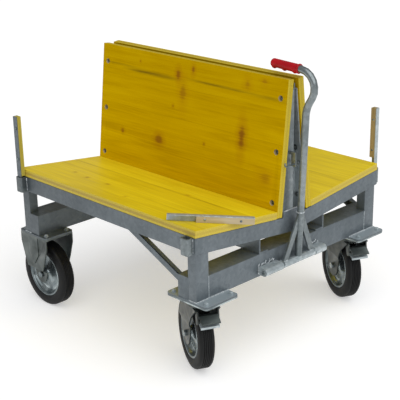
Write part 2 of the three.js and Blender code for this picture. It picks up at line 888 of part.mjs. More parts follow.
const forkInner = tyreWidth / 2 + wheelSideClearance;
const forkFace = forkInner + forkThickness;

function wheel(holder, name, trail) {
  const hub = new THREE.Group();
  hub.position.set(-trail, 0, wheelRadius);
  holder.add(hub);
  const bore = axleRadius + runningGap;
  const hubHalf = forkInner - runningGap;
  const rimHalf = tyreWidth / 2 - rimWall;
  const barrel = rimRadius - rimWall;
  const rimOutline = [
    [bore, -hubHalf],
    [bore, hubHalf],
    [hubRadius, hubHalf],
    [hubRadius + rimWall, rimDish],
    [barrel - rimWall, rimWall],
    [barrel, rimHalf],
    [rimRadius, rimHalf],
    [rimRadius, -rimHalf],
    [barrel, -rimHalf],
    [barrel - rimWall, -rimWall],
    [hubRadius + rimWall, -rimDish],
    [hubRadius, -hubHalf],
  ];
  piece(hub, `${name}_rim`, turned(rimOutline), zinc);
  const seat = rimRadius + weldGap;
  const half = [
    [seat, tyreWidth / 2 - rimWall],
    [wheelRadius - 4 * rimWall, tyreWidth / 2],
    [wheelRadius - rimWall, tyreWidth / 2 - rimWall / 2],
    [wheelRadius, tyreWidth / 3],
    [wheelRadius, treadGrooveOffset + treadGroove],
    [wheelRadius - treadGroove, treadGrooveOffset],
    [wheelRadius, treadGrooveOffset - treadGroove],
  ];
  const tyreOutline = [...half, ...half.map(([radius, y]) => [radius, -y]).reverse()];
  piece(hub, `${name}_tyre`, turned(tyreOutline), rubber);
  const reach = forkFace + weldGap;
  const axle = join(
    rod(axleRadius, "y", [-reach - axleHeadThickness, reach + axleHeadThickness]),
    ...SIDES.map(([, away]) =>
      rod(axleHeadRadius, "y", [away * reach, away * (reach + axleHeadThickness)], [0, 0, 0], HEX),
    ),
  );
  piece(hub, `${name}_axle`, axle, zinc);
}

// A pressed fork: an inverted U whose arms step in to the wheel's hub, trimmed to its side outline.
// The shoulder is half the width between the arms above the step.
function pressedFork(top, outline, trail, shoulder, [stepLow, stepHigh]) {
  const arm = (extra) => [
    [forkInner + extra, 0],
    [forkInner + extra, stepLow],
    [shoulder + extra, stepHigh],
  ];
  const mirrored = (points) => points.map(([y, z]) => [-y, z]).reverse();
  const outer = [...arm(forkThickness), [shoulder + forkThickness, top]];
  const inner = [...arm(0), [shoulder, top - forkThickness]];
  const section = prism([...outer, ...mirrored(outer), ...mirrored(inner).reverse(), ...inner.reverse()], "x", [
    -halfLength,
    halfLength,
  ]);
  const bore = rod(axleRadius + weldGap, "y", [-halfWidth, halfWidth], [-trail, 0, wheelRadius]);
  return cut(overlap(section, prism(outline, "y", [-halfWidth, halfWidth])), bore);
}

const topPlateHeights = [casterHeight - plateThickness, casterHeight];

// The fixed fork is as wide as its plate, and a raised rib runs down the middle of each arm.
function fixedFork() {
  const top = casterHeight - plateThickness / 2;
  const half = fixedPlateLength / 2 - fixedForkEndInset;
  const waist = fixedWaistWidth / 2;
  const outline = new THREE.Shape();
  outline.moveTo(top, -half);
  outline.lineTo(top, half);
  outline.lineTo(top - fixedShoulderDrop, half);
  outline.lineTo(wheelRadius + fixedWaistRise, waist);
  outline.lineTo(wheelRadius, fixedFootRadius);
  outline.absarc(wheelRadius, 0, fixedFootRadius, Math.PI / 2, 1.5 * Math.PI);
  outline.lineTo(wheelRadius + fixedWaistRise, -waist);
  outline.lineTo(top - fixedShoulderDrop, -half);
  const stepLow = wheelRadius + fixedStepRise;
  const stepHigh = stepLow + fixedStepHeight;
  const ribTip = stepHigh + fixedRibFoot;
  const ribFace = fixedPlateWidth / 2;
  const armFace = ribFace - fixedRibHeight;
  const ribs = SIDES.map(([, away]) =>
    prism(
      [
        [top, -fixedRibWidth / 2],
        [top, fixedRibWidth / 2],
        [ribTip + fixedRibTaper, fixedRibWidth / 2],
        [ribTip, 0],
        [ribTip + fixedRibTaper, -fixedRibWidth / 2],
      ],
      "y",
      [away * (armFace - forkThickness / 2), away * ribFace],
    ),
  );
  const arms = pressedFork(top, outline, 0, armFace - forkThickness, [stepLow, stepHigh]);
  return join(fixedPlateBlank(topPlateHeights), arms, ...ribs);
}

for (const [side, away] of SIDES) {
  const name = `rear_${side}`;
  const caster = new THREE.Group();
  caster.position.set(-casterX, away * fixedY, 0);
  cart.add(caster);
  piece(caster, `${name}_fork`, fixedFork(), zinc);
  wheel(caster, name, 0);
}

const pedalX = pedalPivotReach;
const pedalZ = crownFoot - pedalPivotDrop;

function swivelPlate() {
  const race = rod(raceRadius, "z", [crownTop + weldGap, casterHeight - plateThickness / 2], [0, 0, 0], DISC);
  const foot = crownFoot - forkThickness - weldGap;
  const pin = rod(kingPinRadius, "z", [foot - kingHeadThickness, casterHeight - plateThickness], [0, 0, 0]);
  const head = rod(kingHeadRadius, "z", [foot - kingHeadThickness, foot], [0, 0, 0], HEX);
  return join(swivelPlateBlank(topPlateHeights), race, pin, head);
}

function swivelFork() {
  const half = swivelForkWidth / 2;
  const foot = swivelFootRadius;
  const stepLow = wheelRadius + swivelStepRise;
  const stepHigh = stepLow + swivelStepHeight;
  const outline = new THREE.Shape();
  outline.moveTo(crownFoot, -half);
  outline.lineTo(crownFoot, half);
  const [frontBend, rearBend] = [wheelRadius + swivelFrontBend, wheelRadius + swivelRearBend];
  outline.quadraticCurveTo(frontBend, -swivelTrail + foot, wheelRadius, -swivelTrail + foot);
  outline.absarc(wheelRadius, -swivelTrail, foot, Math.PI / 2, 1.5 * Math.PI);
  outline.quadraticCurveTo(rearBend, -swivelTrail - swivelRearSweep, crownFoot, -half);
  const arms = pressedFork(crownFoot, outline, swivelTrail, forkInner + swivelJoggle, [stepLow, stepHigh]);
  const crown = rod(raceRadius, "z", [crownFoot - 1, crownTop], [0, 0, 0], DISC);
  const ears = SIDES.map(([, away]) => {
    const ear = new THREE.Shape();
    ear.moveTo(crownFoot - forkThickness / 2, half / 2);
    ear.lineTo(pedalZ, pedalX - pedalEarRadius);
    ear.absarc(pedalZ, pedalX, pedalEarRadius, 1.5 * Math.PI, Math.PI / 2, true);
    ear.lineTo(crownFoot - forkThickness / 2, half);
    const inner = pedalWidth / 2 + runningGap;
    return prism(ear, "y", [away * inner, away * (inner + pedalEarThickness)]);
  });
  const kingBore = rod(kingPinRadius + runningGap, "z", [0, casterHeight], [0, 0, 0]);
  const pedalBore = rod(pedalPivotRadius + runningGap, "y", [-halfWidth, halfWidth], [pedalX, 0, pedalZ]);
  return cut(join(arms, crown, ...ears), kingBore, pedalBore);
}

// Brake pedal: a rocker with a lower wing under a sloping hood, and a shoe that meets the tyre.
function brakePedal() {
  const half = pedalWidth / 2;
  const span = [-half, half];
  const trunnion = half + runningGap + pedalEarThickness;
  const tube = rod(pedalTubeRadius, "y", span, [0, 0, 0]);
  const pivot = rod(pedalPivotRadius, "y", [-trunnion, trunnion], [0, 0, 0]);
  const t = pedalThickness;
  const lower = prism(
    [
      [0, 0],
      [-pedalLowerDrop, pedalLowerReach],
      [-pedalLowerDrop - 2 * t, pedalLowerReach],
      [-pedalLowerDrop - 2 * t, pedalLowerReach - t],
      [-pedalLowerDrop - t, pedalLowerReach - t],
      [-t, 0],
    ],
    "y",
    span,
  );
  const hood = prism(
    [
      [0, -t],
      [pedalHoodRise, -t],
      [pedalHoodRise, pedalHoodBend],
      [pedalHoodTip, pedalHoodReach],
      [pedalHoodTip - t, pedalHoodReach],
      [pedalHoodRise - t, pedalHoodBend - t / 2],
      [pedalHoodRise - t, 0],
      [0, 0],
    ],
    "y",
    span,
  );
  const shoeHeight = pedalZ - pedalShoeDrop - wheelRadius;
  const tyreReach = Math.sqrt((wheelRadius + shoeGap) ** 2 - shoeHeight ** 2) - swivelTrail;
  const shoe = box([tyreReach - pedalX, 0], [-half / 2, half / 2], [-pedalShoeDrop, 0]);
  const body = join(tube, pivot, lower, hood, shoe);
  return body.translate(pedalX, 0, pedalZ);
}

for (const [side, away] of SIDES) {
  const name = `front_${side}`;
  const caster = new THREE.Group();
  caster.position.set(casterX, away * swivelY, 0);
  cart.add(caster);
  piece(caster, `${name}_swivel_plate`, swivelPlate(), zinc);
  const swivel = new THREE.Group();
  swivel.rotation.z = swivelSwing;
  caster.add(swivel);
  piece(swivel, `${name}_fork`, swivelFork(), zinc);
  piece(swivel, `${name}_brake_pedal`, brakePedal(), zinc);
  wheel(swivel, name, swivelTrail);
}

// The part's origin is the middle of its footprint, on the floor

const reach = new THREE.Box3().setFromObject(cart, true);
cart.position.set(-(reach.min.x + reach.max.x) / 2, -(reach.min.y + reach.max.y) / 2, -reach.min.z);

const root = new THREE.Group();
root.add(cart);
export default root;
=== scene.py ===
import json
import math

import bmesh
import bpy
from mathutils import Matrix, Vector, noise


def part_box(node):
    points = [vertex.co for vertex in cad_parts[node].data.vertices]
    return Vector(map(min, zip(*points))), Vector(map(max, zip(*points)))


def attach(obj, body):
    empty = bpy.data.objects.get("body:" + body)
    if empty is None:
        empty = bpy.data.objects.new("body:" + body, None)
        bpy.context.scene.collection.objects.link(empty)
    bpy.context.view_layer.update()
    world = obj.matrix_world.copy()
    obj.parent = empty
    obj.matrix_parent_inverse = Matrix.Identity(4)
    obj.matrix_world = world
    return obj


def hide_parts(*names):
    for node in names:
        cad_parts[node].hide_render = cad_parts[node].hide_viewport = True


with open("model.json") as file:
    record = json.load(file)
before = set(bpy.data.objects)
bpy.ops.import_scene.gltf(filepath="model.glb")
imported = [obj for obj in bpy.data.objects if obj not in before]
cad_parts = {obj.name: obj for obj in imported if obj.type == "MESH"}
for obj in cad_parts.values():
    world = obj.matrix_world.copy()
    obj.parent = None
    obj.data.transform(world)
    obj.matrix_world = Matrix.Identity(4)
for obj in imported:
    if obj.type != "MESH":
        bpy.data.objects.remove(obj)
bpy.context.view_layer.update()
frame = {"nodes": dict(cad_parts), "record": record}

MM = 0.001
BODY = {node: body for body, nodes in frame["record"]["behaviour"]["bodies"].items() for node in nodes}
ENDS = (("front", 1), ("rear", -1))
SIDES = (("near", -1), ("far", 1))

# Sizes and places that follow the solids, in millimetres
TILT = math.radians(6.3)
BACK_FOOT = 91
DECK_FOOT = 545.31
BOARD = 27
BACK_TOP = 476
BOLT_X = 470
BOLT_DROPS = (70, 262, 448)
HEAD_RECESS = 9
UPRIGHT_WALL = 5.4
LEG_FACE = 493.7
LEG_WIDTH = {"front": 60, "rear": 40}
LEG_DEPTH = 40
BEAM_TOP = 407.3
SADDLE_X = 494.5
SADDLE_Z = 534.1
SADDLE_HALF = 52
POCKET_X = 470
POCKET_Y = 500.3
POCKET_TOP = 563
POCKET_HALF = 18.5
BRACE_HEAD = (195.1, 523.0)
BRACE_FOOT = (442.5, 407.6)
PLATE_TOP = 323.3
PLATE_UNDER = 311
PLATE_HALF = {"front": (100, 80), "rear": (87.5, 70)}
PLATE_BOLT_INSET = 20
CASTER_X = 445
CASTER_Y = {"front": 418, "rear": 428}
SWING = {"front": math.radians(-26), "rear": 0}
TRAIL = {"front": 80, "rear": 0}
AXLE_HEIGHT = 137
TYRE_RADIUS = 135.5
TYRE_HALF = 30
PEDAL_WING_TOP = 235
HINGE_X = 521.7
HINGE_Z = 346.3
APEX_Z = 524.3
LEAN = math.tan(math.radians(2.6))
TUBE_RADIUS = 13.5
PIN_RADIUS = 8
GRIP_END_X = 392.7
GRIP_Z = 1058
GRIP_RISE = math.radians(2.7)
GRIP_LENGTH = 124
STAKE_FOOT = 507.3
STAKE_WIDTH = 25
STAKE_DEPTH = 20
STAKE_LENGTH = 300
STAKE_BOLTS = (129.2, 253)
LOOSE_PLACE = (452, -381)
LOOSE_TURN = math.radians(49.5)

# Sizes of the forms that are made here, in millimetres
EDGE = {
    "board": 1.6, "frame": 1.4, "brace": 1.0, "knuckle": 1.6, "drawbar": 0.8, "catch": 0.4,
    "angle": 0.7, "batten": 1.0, "axle": 0.8, "fork": 1.4, "plate": 1.2, "pedal": 0.8,
}
BEAD = {
    "foot": 3.0, "plate": 3.6, "seam": 1.5, "pocket": 2.4, "saddle": 3.4,
    "drop": 2.6, "knuckle": 3.0, "strut": 2.6, "tube": 2.8,
}
BORE_REACH = 12.5
WASHER = 1.8
BOARD_HEAD = (8.5, 4)
BOARD_NUT = (14, 6, 2)
PLATE_NUT = (14, 6, 2)
PLATE_HEAD = (14, 6)
STAKE_HEAD = (4.5, 2.0)
STAKE_NUT = (10, 5, 2)
WELD_GAP = 0.6
POCKET_WELD = (56, 5)
BRACE_TRIM = 14
BRACE_FLANGE = 18
BRACE_SHEET = 4
KNUCKLE_RADIUS = 15
KNUCKLES = ((-186, -91), (91, 150))
DROP_STEP = 7
PIN_STUB = 3
YOKE_TOP = APEX_Z + 6
STEM_FOOT = HINGE_Z + 13
STRUT_END = HINGE_Z + 11
STRUT_SPREAD = 78
STRUT_WIDTH = 26
STRUT_THICKNESS = 7
STRUT_TOE = (-12, 10)
SLEEVE_HALF = 87
STAKE_WALL = 3
STAKE_GAP = 0.2
WOOD_FOOT = 99.2
LONG_WOOD_FOOT = 60
LOOSE_SETBACK = -3.7
LOOSE_LIFT = 0.3
STAKE_CLEARANCE = 0.5
GRIP_NOSE = 4
GRIP_RADIUS = 15.6
GRIP_COLLAR = 2.6
GRIP_WAVE = 4.6
GRIP_RIPPLE = 0.35

near_deck, far_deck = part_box("near_deck_board"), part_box("far_deck_board")
ORIGIN = Vector((
    (near_deck[0].x + near_deck[1].x) / 2,
    (near_deck[0].y + far_deck[1].y) / 2,
    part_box("front_cross_beam")[1].z - BEAM_TOP * MM,
))


def at(x, y, z):
    """A place in millimetres from the middle of the decks, with the floor at about zero."""
    return ORIGIN + Vector((x, y, z)) * MM


def bay_matrix(sign):
    """The frame of a tilted bay: its deck lies in the XY plane and its back board in the XZ plane."""
    turn = Matrix.Rotation(math.pi if sign > 0 else 0, 4, "Z")
    return (
        Matrix.Translation(ORIGIN)
        @ turn
        @ Matrix.Translation(Vector((0, -BACK_FOOT, DECK_FOOT)) * MM)
        @ Matrix.Rotation(-TILT, 4, "X")
    )


# Materials


class Shader:
    """A principled material and short ways to add nodes to it."""

    def __init__(self, name, roughness=0.5, metallic=0.0):
        self.material = bpy.data.materials.new(name)
        self.material.use_nodes = True
        self.tree = self.material.node_tree
        self.bsdf = self.tree.nodes["Principled BSDF"]
        self.bsdf.inputs["Roughness"].default_value = roughness
        self.bsdf.inputs["Metallic"].default_value = metallic
        self.coords = self.tree.nodes.new("ShaderNodeTexCoord")
        self.place = self.coords.outputs["Object"]

    def feed(self, socket, value):
        if isinstance(value, bpy.types.NodeSocket):
            self.tree.links.new(value, socket)
        else:
            socket.default_value = value

    def math(self, operation, a, b=0.0):
        node = self.tree.nodes.new("ShaderNodeMath")
        node.operation = operation
        self.feed(node.inputs[0], a)
        self.feed(node.inputs[1], b)
        return node.outputs[0]

    def weighted(self, *parts):
        """The sum of values that are each multiplied by a weight."""
        total = None
        for value, weight in parts:
            share = self.math("MULTIPLY", value, weight)
            total = share if total is None else self.math("ADD", total, share)
        return total

    def scaled(self, x, y, z):
        node = self.tree.nodes.new("ShaderNodeVectorMath")
        node.operation = "MULTIPLY"
        self.feed(node.inputs[0], self.place)
        node.inputs[1].default_value = (x, y, z)
        return node.outputs[0]

    def split(self, vector):
        node = self.tree.nodes.new("ShaderNodeSeparateXYZ")
        self.feed(node.inputs[0], vector)
        return node.outputs

    def joined(self, x, y, z):
        node = self.tree.nodes.new("ShaderNodeCombineXYZ")
        for socket, value in zip(node.inputs, (x, y, z)):
            self.feed(socket, value)
        return node.outputs[0]

    def noise(self, vector, scale, detail=3.0, distortion=0.0):
        node = self.tree.nodes.new("ShaderNodeTexNoise")
        self.feed(node.inputs["Vector"], vector)
        node.inputs["Scale"].default_value = scale
        node.inputs["Detail"].default_value = detail
        node.inputs["Distortion"].default_value = distortion
        return node.outputs["Fac"]

    def cells(self, scale):
        node = self.tree.nodes.new("ShaderNodeTexVoronoi")
        self.feed(node.inputs["Vector"], self.place)
        node.inputs["Scale"].default_value = scale
        return self.split(node.outputs["Color"])[0]

    def ramp(self, factor, stops):
        node = self.tree.nodes.new("ShaderNodeValToRGB")
        elements = node.color_ramp.elements
        while len(elements) < len(stops):
            elements.new(0.5)
        for element, (position, colour) in zip(elements, stops):
            element.position = position
            element.color = (*colour, 1)
        self.feed(node.inputs[0], factor)
        return node.outputs[0]

    def spread(self, value, low, high, to_low, to_high):
        node = self.tree.nodes.new("ShaderNodeMapRange")
        for socket, setting in zip(node.inputs, (value, low, high, to_low, to_high)):
            self.feed(socket, setting)
        return node.outputs[0]

    def mix(self, factor, a, b, blend="MIX"):
        node = self.tree.nodes.new("ShaderNodeMix")
        node.data_type = "RGBA"
        node.blend_type = blend
        self.feed(node.inputs["Factor"], factor)
        colours = [s for s in node.inputs if s.type == "RGBA"]
        self.feed(colours[0], a if isinstance(a, bpy.types.NodeSocket) else (*a, 1))
        self.feed(colours[1], b if isinstance(b, bpy.types.NodeSocket) else (*b, 1))
        return [s for s in node.outputs if s.type == "RGBA"][0]

    def bump(self, height, strength, distance):
        node = self.tree.nodes.new("ShaderNodeBump")
        node.inputs["Strength"].default_value = strength
        node.inputs["Distance"].default_value = distance
        self.feed(node.inputs["Height"], height)
        self.feed(self.bsdf.inputs["Normal"], node.outputs[0])

    def finish(self, colour, roughness=None):
        self.feed(self.bsdf.inputs["Base Color"], colour)
        if roughness is not None:
            self.feed(self.bsdf.inputs["Roughness"], roughness)
        return self.material


def galvanised(name, tones, metallic, polish):
    """Hot-dipped steel: cloudy, with a fine spangle.

    Painted light: it is paler on top of the front bolt plates, a painted highlight, and darker towards the
    rear, a painted shade.
    """
    s = Shader(name, metallic=metallic)
    broad = s.noise(s.place, 4, 3)
    spangle = s.cells(95)
    runs = s.noise(s.scaled(26, 26, 4), 1, 3)
    tone = s.weighted((broad, 0.55), (spangle, 0.14), (runs, 0.31))
    colour = s.ramp(tone, tuple(zip((0.32, 0.5, 0.7), tones)))
    x, _, z = s.split(s.place)
    # Painted highlight: faces that look up on the front bolt plates are mixed towards a pale blue grey.
    painted_top_highlight = s.spread(s.split(s.coords.outputs["Normal"])[2], 0.75, 0.98, 0.0, 0.75)
    plates = s.math("MULTIPLY", s.spread(x, 0.1, 0.2, 0.0, 1.0), s.spread(z, 0.33, 0.34, 1.0, 0.0))
    colour = s.mix(s.math("MULTIPLY", painted_top_highlight, plates), colour, (0.42, 0.49, 0.525))
    # Painted shade: the colour is mixed towards near black towards the rear.
    rear = s.spread(x, -0.45, 0.05, 0.38, 0.0)
    colour = s.mix(rear, colour, (0.02, 0.024, 0.026))
    s.bump(s.noise(s.place, 160, 2), 0.1, 0.0005)
    return s.finish(colour, s.spread(tone, 0.3, 0.75, polish + 0.1, polish - 0.06))


def zinc(name, tones, polish):
    """Smooth plated steel with soft clouds."""
    s = Shader(name, metallic=0.75)
    broad = s.noise(s.place, 14, 2, 0.6)
    fine = s.noise(s.scaled(1, 1, 0.25), 90, 2)
    tone = s.weighted((broad, 0.94), (fine, 0.06))
    colour = s.ramp(tone, tuple(zip((0.34, 0.5, 0.66), tones)))
    s.bump(fine, 0.05, 0.0004)
    return s.finish(colour, s.spread(tone, 0.3, 0.75, polish + 0.08, polish - 0.1))


def weld_metal():
    s = Shader("weld_metal", metallic=0.45)
    grain = s.noise(s.place, 220, 3)
    colour = s.ramp(grain, ((0.35, (0.27, 0.31, 0.33)), (0.65, (0.64, 0.68, 0.7))))
    s.bump(grain, 0.4, 0.0008)
    return s.finish(colour, s.spread(grain, 0.3, 0.7, 0.45, 0.28))


def streak_marks(s, colour, x, over, cloud, fibre, streaks):
    """Dark lines along the grain, each (level, start, end, half width, strength), in metres."""
    for level, start, end, width, strength in streaks:
        wander = s.math("MULTIPLY", s.math("SUBTRACT", cloud, 0.5), 0.012)
        away = s.math("ABSOLUTE", s.math("SUBTRACT", s.math("ADD", over, wander), level))
        line = s.spread(away, 0.0, width, strength, 0.0)
        first = s.spread(x, start - 0.06, start + 0.05, 0.0, 1.0)
        last = s.spread(x, end - 0.05, end + 0.06, 1.0, 0.0)
        line = s.math("MULTIPLY", line, s.math("MULTIPLY", first, last))
        line = s.math("MULTIPLY", line, s.spread(fibre, 0.3, 0.6, 1.0, 0.55))
        colour = s.mix(line, colour, (0.17, 0.11, 0.006))
    return colour


def knot_marks(s, colour, x, over, figure, fibre, knots):
    """Brown knots in a soft halo, each (place, level, half length, half height, strength), in metres."""
    for place, level, length, height, strength in knots:
        u = s.math("DIVIDE", s.math("SUBTRACT", x, place), length)
        v = s.math("DIVIDE", s.math("SUBTRACT", over, level), height)
        far = s.math("SQRT", s.math("ADD", s.math("MULTIPLY", u, u), s.math("MULTIPLY", v, v)))
        far = s.math("ADD", far, s.math("MULTIPLY", s.math("SUBTRACT", figure, 0.5), 2.6))
        far = s.math("ADD", far, s.math("MULTIPLY", s.math("SUBTRACT", fibre, 0.5), 1.6))
        colour = s.mix(s.spread(far, 0.6, 2.6, 0.6 * strength, 0.0), colour, (0.4, 0.17, 0.004))
        colour = s.mix(s.spread(far, 0.3, 1.1, 0.8 * strength, 0.0), colour, (0.23, 0.08, 0.008))
    return colour


def ply_edges(s, colour, upright, into):
    """Ply layers on a board's edges: a darker core between two skins."""
    nx, ny, nz = s.split(s.coords.outputs["Normal"])
    facing = s.math("ABSOLUTE", ny if upright else nz)
    rim = s.spread(facing, 0.45, 0.75, 1.0, 0.0)
    middle = BOARD / 2 * MM
    layer = s.math("ABSOLUTE", s.math("ADD", into, -middle if upright else middle))
    core = s.spread(layer, 0.0042, 0.0052, 1.0, 0.0)
    grains = s.noise(s.scaled(260, 260, 260), 1, 2)
    skin = s.ramp(grains, ((0.3, (0.50, 0.38, 0.03)), (0.7, (0.62, 0.48, 0.06))))
    heart = s.ramp(grains, ((0.3, (0.36, 0.25, 0.035)), (0.7, (0.47, 0.34, 0.06))))
    side = s.spread(s.math("ABSOLUTE", nx), 0.4, 0.7, 0.0, 0.55)
    edge = s.mix(s.math("MULTIPLY", core, s.math("SUBTRACT", 0.95, side)), skin, heart)
    return s.mix(rim, colour, edge)


def yellow_board(name, upright, knots, streaks, tones, gloss):
    """Glazed three-ply board: grain along X, strips side by side, knots, ply layers at its edges.

    An upright board is paler towards its foot and darker towards its top: painted light, as from the bright
    deck below it.
    """
    s = Shader(name)
    x, y, z = s.split(s.place)
    over, into = (z, y) if upright else (y, z)
    strip = s.math("DIVIDE", over, 0.121)
    index = s.math("FLOOR", strip)
    shift = s.math("MULTIPLY", s.math("SINE", s.math("MULTIPLY", index, 12.9898)), 3.7)
    shade = s.math("FRACT", s.math("MULTIPLY", s.math("SINE", s.math("MULTIPLY", index, 78.233)), 43.75))
    run = s.math("ADD", x, shift)
    fibre = s.noise(s.joined(s.math("MULTIPLY", run, 5), s.math("MULTIPLY", over, 170), 0.0), 1, 4, 0.3)
    figure = s.noise(s.joined(s.math("MULTIPLY", run, 1.7), s.math("MULTIPLY", over, 26), 0.0), 1, 4, 1.2)
    cloud = s.noise(s.joined(s.math("MULTIPLY", run, 2.2), s.math("MULTIPLY", over, 5), 0.0), 1, 2)
    tone = s.weighted((fibre, 0.3), (figure, 0.36), (cloud, 0.26), (shade, 0.08))
    colour = s.ramp(tone, tuple(zip((0.36, 0.5, 0.64), tones)))
    if upright:
        # Painted light: the board's colour is raised near its foot and lowered near its top.
        painted_foot_light = s.spread(over, 0.0, 0.45, 1.2, 0.9)
        painted_foot_light_green = s.spread(over, 0.0, 0.45, 1.27, 0.92)
        colour = s.mix(1.0, colour, s.joined(painted_foot_light, painted_foot_light_green, painted_foot_light), "MULTIPLY")
    seam = s.math("ABSOLUTE", s.math("SUBTRACT", s.math("FRACT", strip), 0.5))
    seam = s.spread(seam, 0.491, 0.499, 0.0, 0.35)
    colour = s.mix(seam, colour, (0.33, 0.2, 0.004))
    colour = streak_marks(s, colour, x, over, cloud, fibre, streaks)
    colour = knot_marks(s, colour, x, over, figure, fibre, knots)
    colour = ply_edges(s, colour, upright, into)
    s.bump(fibre, 0.12, 0.0005)
    s.bsdf.inputs["Specular IOR Level"].default_value = gloss
    return s.finish(colour, s.spread(fibre, 0.3, 0.7, 0.38, 0.52))


def pale_wood(name, light, dark):
    s = Shader(name)
    fibre = s.noise(s.scaled(150, 150, 8), 1, 4, 0.4)
    figure = s.noise(s.scaled(30, 30, 3), 1, 2)
    tone = s.weighted((fibre, 0.6), (figure, 0.4))
    s.bump(fibre, 0.15, 0.0004)
    return s.finish(s.ramp(tone, ((0.35, dark), (0.65, light))), s.spread(fibre, 0.3, 0.7, 0.55, 0.7))


def rubber():
    s = Shader("black_rubber")
    dust = s.noise(s.place, 14, 4)
    fine = s.noise(s.place, 300, 2)
    colour = s.ramp(dust, ((0.35, (0.005, 0.0053, 0.0056)), (0.75, (0.012, 0.0124, 0.0128))))
    s.bump(fine, 0.15, 0.0004)
    s.bsdf.inputs["Specular IOR Level"].default_value = 0.22
    return s.finish(colour, s.spread(dust, 0.3, 0.7, 0.5, 0.66))


def red_plastic():
    s = Shader("red_grip")
    fine = s.noise(s.place, 420, 2)
    cloud = s.noise(s.place, 25, 2)
    colour = s.ramp(cloud, ((0.35, (0.36, 0.003, 0.008)), (0.7, (0.48, 0.006, 0.013))))
    s.bump(fine, 0.12, 0.0004)
    s.bsdf.inputs["Specular IOR Level"].default_value = 0.2
    return s.finish(colour, s.spread(fine, 0.3, 0.7, 0.36, 0.5))


def pale_floor():
    s = Shader("floor", roughness=0.9)
    s.bsdf.inputs["Emission Color"].default_value = (1, 1, 1, 1)
    s.bsdf.inputs["Emission Strength"].default_value = 0.42
    cloud = s.noise(s.place, 0.6, 2)
    return s.finish(s.ramp(cloud, ((0.3, (0.71, 0.71, 0.71)), (0.7, (0.74, 0.74, 0.74)))))


STEEL = galvanised(
    "galvanised_steel", ((0.096, 0.117, 0.131), (0.122, 0.146, 0.162), (0.162, 0.19, 0.209)), 0.4, 0.38
)
# A paler, glossier copy of the galvanised steel: its raised tones are a painted sheen, standing in for
# highlights and for light in the shade between the boards.
SHEEN_STEEL = galvanised(
    "galvanised_steel_painted_sheen", ((0.125, 0.149, 0.156), (0.19, 0.218, 0.226), (0.31, 0.346, 0.354)), 0.7, 0.3
)
# A still paler copy of the galvanised steel, a painted highlight for the parts that catch the light.
HIGHLIT_STEEL = galvanised(
    "galvanised_steel_painted_highlight", ((0.26, 0.307, 0.325), (0.401, 0.455, 0.474), (0.614, 0.673, 0.69)), 0.45, 0.32
)
# Its clouds run from dark to bright: a mottle that is partly a painted reflection on the rims and pedals.
ZINC = zinc("zinc_plated_steel", ((0.1, 0.125, 0.135), (0.22, 0.258, 0.268), (0.46, 0.52, 0.53)), 0.28)
PRESSED_ZINC = zinc(
    "pressed_zinc_steel", ((0.058, 0.069, 0.066), (0.092, 0.107, 0.104), (0.148, 0.166, 0.16)), 0.34
)
DARK_ZINC = zinc(
    "dark_zinc_steel", ((0.04, 0.047, 0.045), (0.062, 0.072, 0.07), (0.105, 0.117, 0.113)), 0.34
)
WELD = weld_metal()
RUBBER = rubber()
RED = red_plastic()
BARE = pale_wood("bare_softwood", (0.5, 0.41, 0.25), (0.38, 0.3, 0.17))
GLAZED = pale_wood("glazed_softwood", (0.46, 0.39, 0.06), (0.33, 0.27, 0.03))
TANNED = pale_wood("tanned_softwood", (0.4, 0.31, 0.14), (0.29, 0.21, 0.085))

# Meshes


def smooth(mesh):
    mesh.polygons.foreach_set("use_smooth", [True] * len(mesh.polygons))
    mesh.set_sharp_from_angle(angle=math.radians(35))


def add_piece(name, bm, material, body, matrix=None):
    """A mesh as an object that rides a body. A matrix gives it a frame of its own."""
    bmesh.ops.recalc_face_normals(bm, faces=bm.faces)
    mesh = bpy.data.meshes.new(name)
    bm.to_mesh(mesh)
    bm.free()
    smooth(mesh)
    mesh.materials.append(material)
    obj = bpy.data.objects.new(name, mesh)
    bpy.context.scene.collection.objects.link(obj)
    if matrix is not None:
        obj.matrix_world = matrix
    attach(obj, body)
    return obj


def rounded(obj, edge):
    bevel = obj.modifiers.new("rounded_edges", "BEVEL")
    bevel.width = edge * MM
    bevel.segments = 2
    bevel.limit_method = "ANGLE"
    bevel.angle_limit = math.radians(38)
    bevel.harden_normals = True


def solid_copy(node):
    """A copy of a solid with its flat faces made whole."""
    bm = bmesh.new()
    bm.from_mesh(frame["nodes"][node].data)
    bmesh.ops.remove_doubles(bm, verts=bm.verts, dist=2e-5)
    bmesh.ops.dissolve_limit(bm, angle_limit=math.radians(0.6), verts=bm.verts, edges=bm.edges)
    return bm


def trim(bm, place, direction):
    """Take away what lies beyond a plane, and close the cut."""
    whole = bm.verts[:] + bm.edges[:] + bm.faces[:]
    cut = bmesh.ops.bisect_plane(bm, geom=whole, plane_co=place, plane_no=direction, clear_outer=True)
    edges = [e for e in cut["geom_cut"] if isinstance(e, bmesh.types.BMEdge)]
    bmesh.ops.triangle_fill(bm, edges=edges, use_beauty=True)


def join(bm, part):
    """Add one mesh to another."""
    mesh = bpy.data.meshes.new("part")
    part.to_mesh(mesh)
    part.free()
    bm.from_mesh(mesh)
    bpy.data.meshes.remove(mesh)


def dress(node, material, edge, matrix=None):
    """A copy of a solid with its sharp edges rounded."""
    bm = solid_copy(node)
    if matrix is not None:
        bm.transform(matrix.inverted())
    obj = add_piece(node + "_dressed", bm, material, BODY[node], matrix)
    rounded(obj, edge)
    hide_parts(node)
    return obj


def lathe(profile, segments):
    """A closed ring of (radius, y) points turned about Y, in millimetres."""
    bm = bmesh.new()
    rings = []
    for k in range(segments):
        a = 2 * math.pi * k / segments
        rings.append([bm.verts.new(Vector((r * math.sin(a), y, r * math.cos(a))) * MM) for r, y in profile])
    n = len(profile)
    for k in range(segments):
        one, two = rings[k], rings[(k + 1) % segments]
        for i in range(n):
            j = (i + 1) % n
            bm.faces.new((one[i], one[j], two[j], two[i]))
    return bm


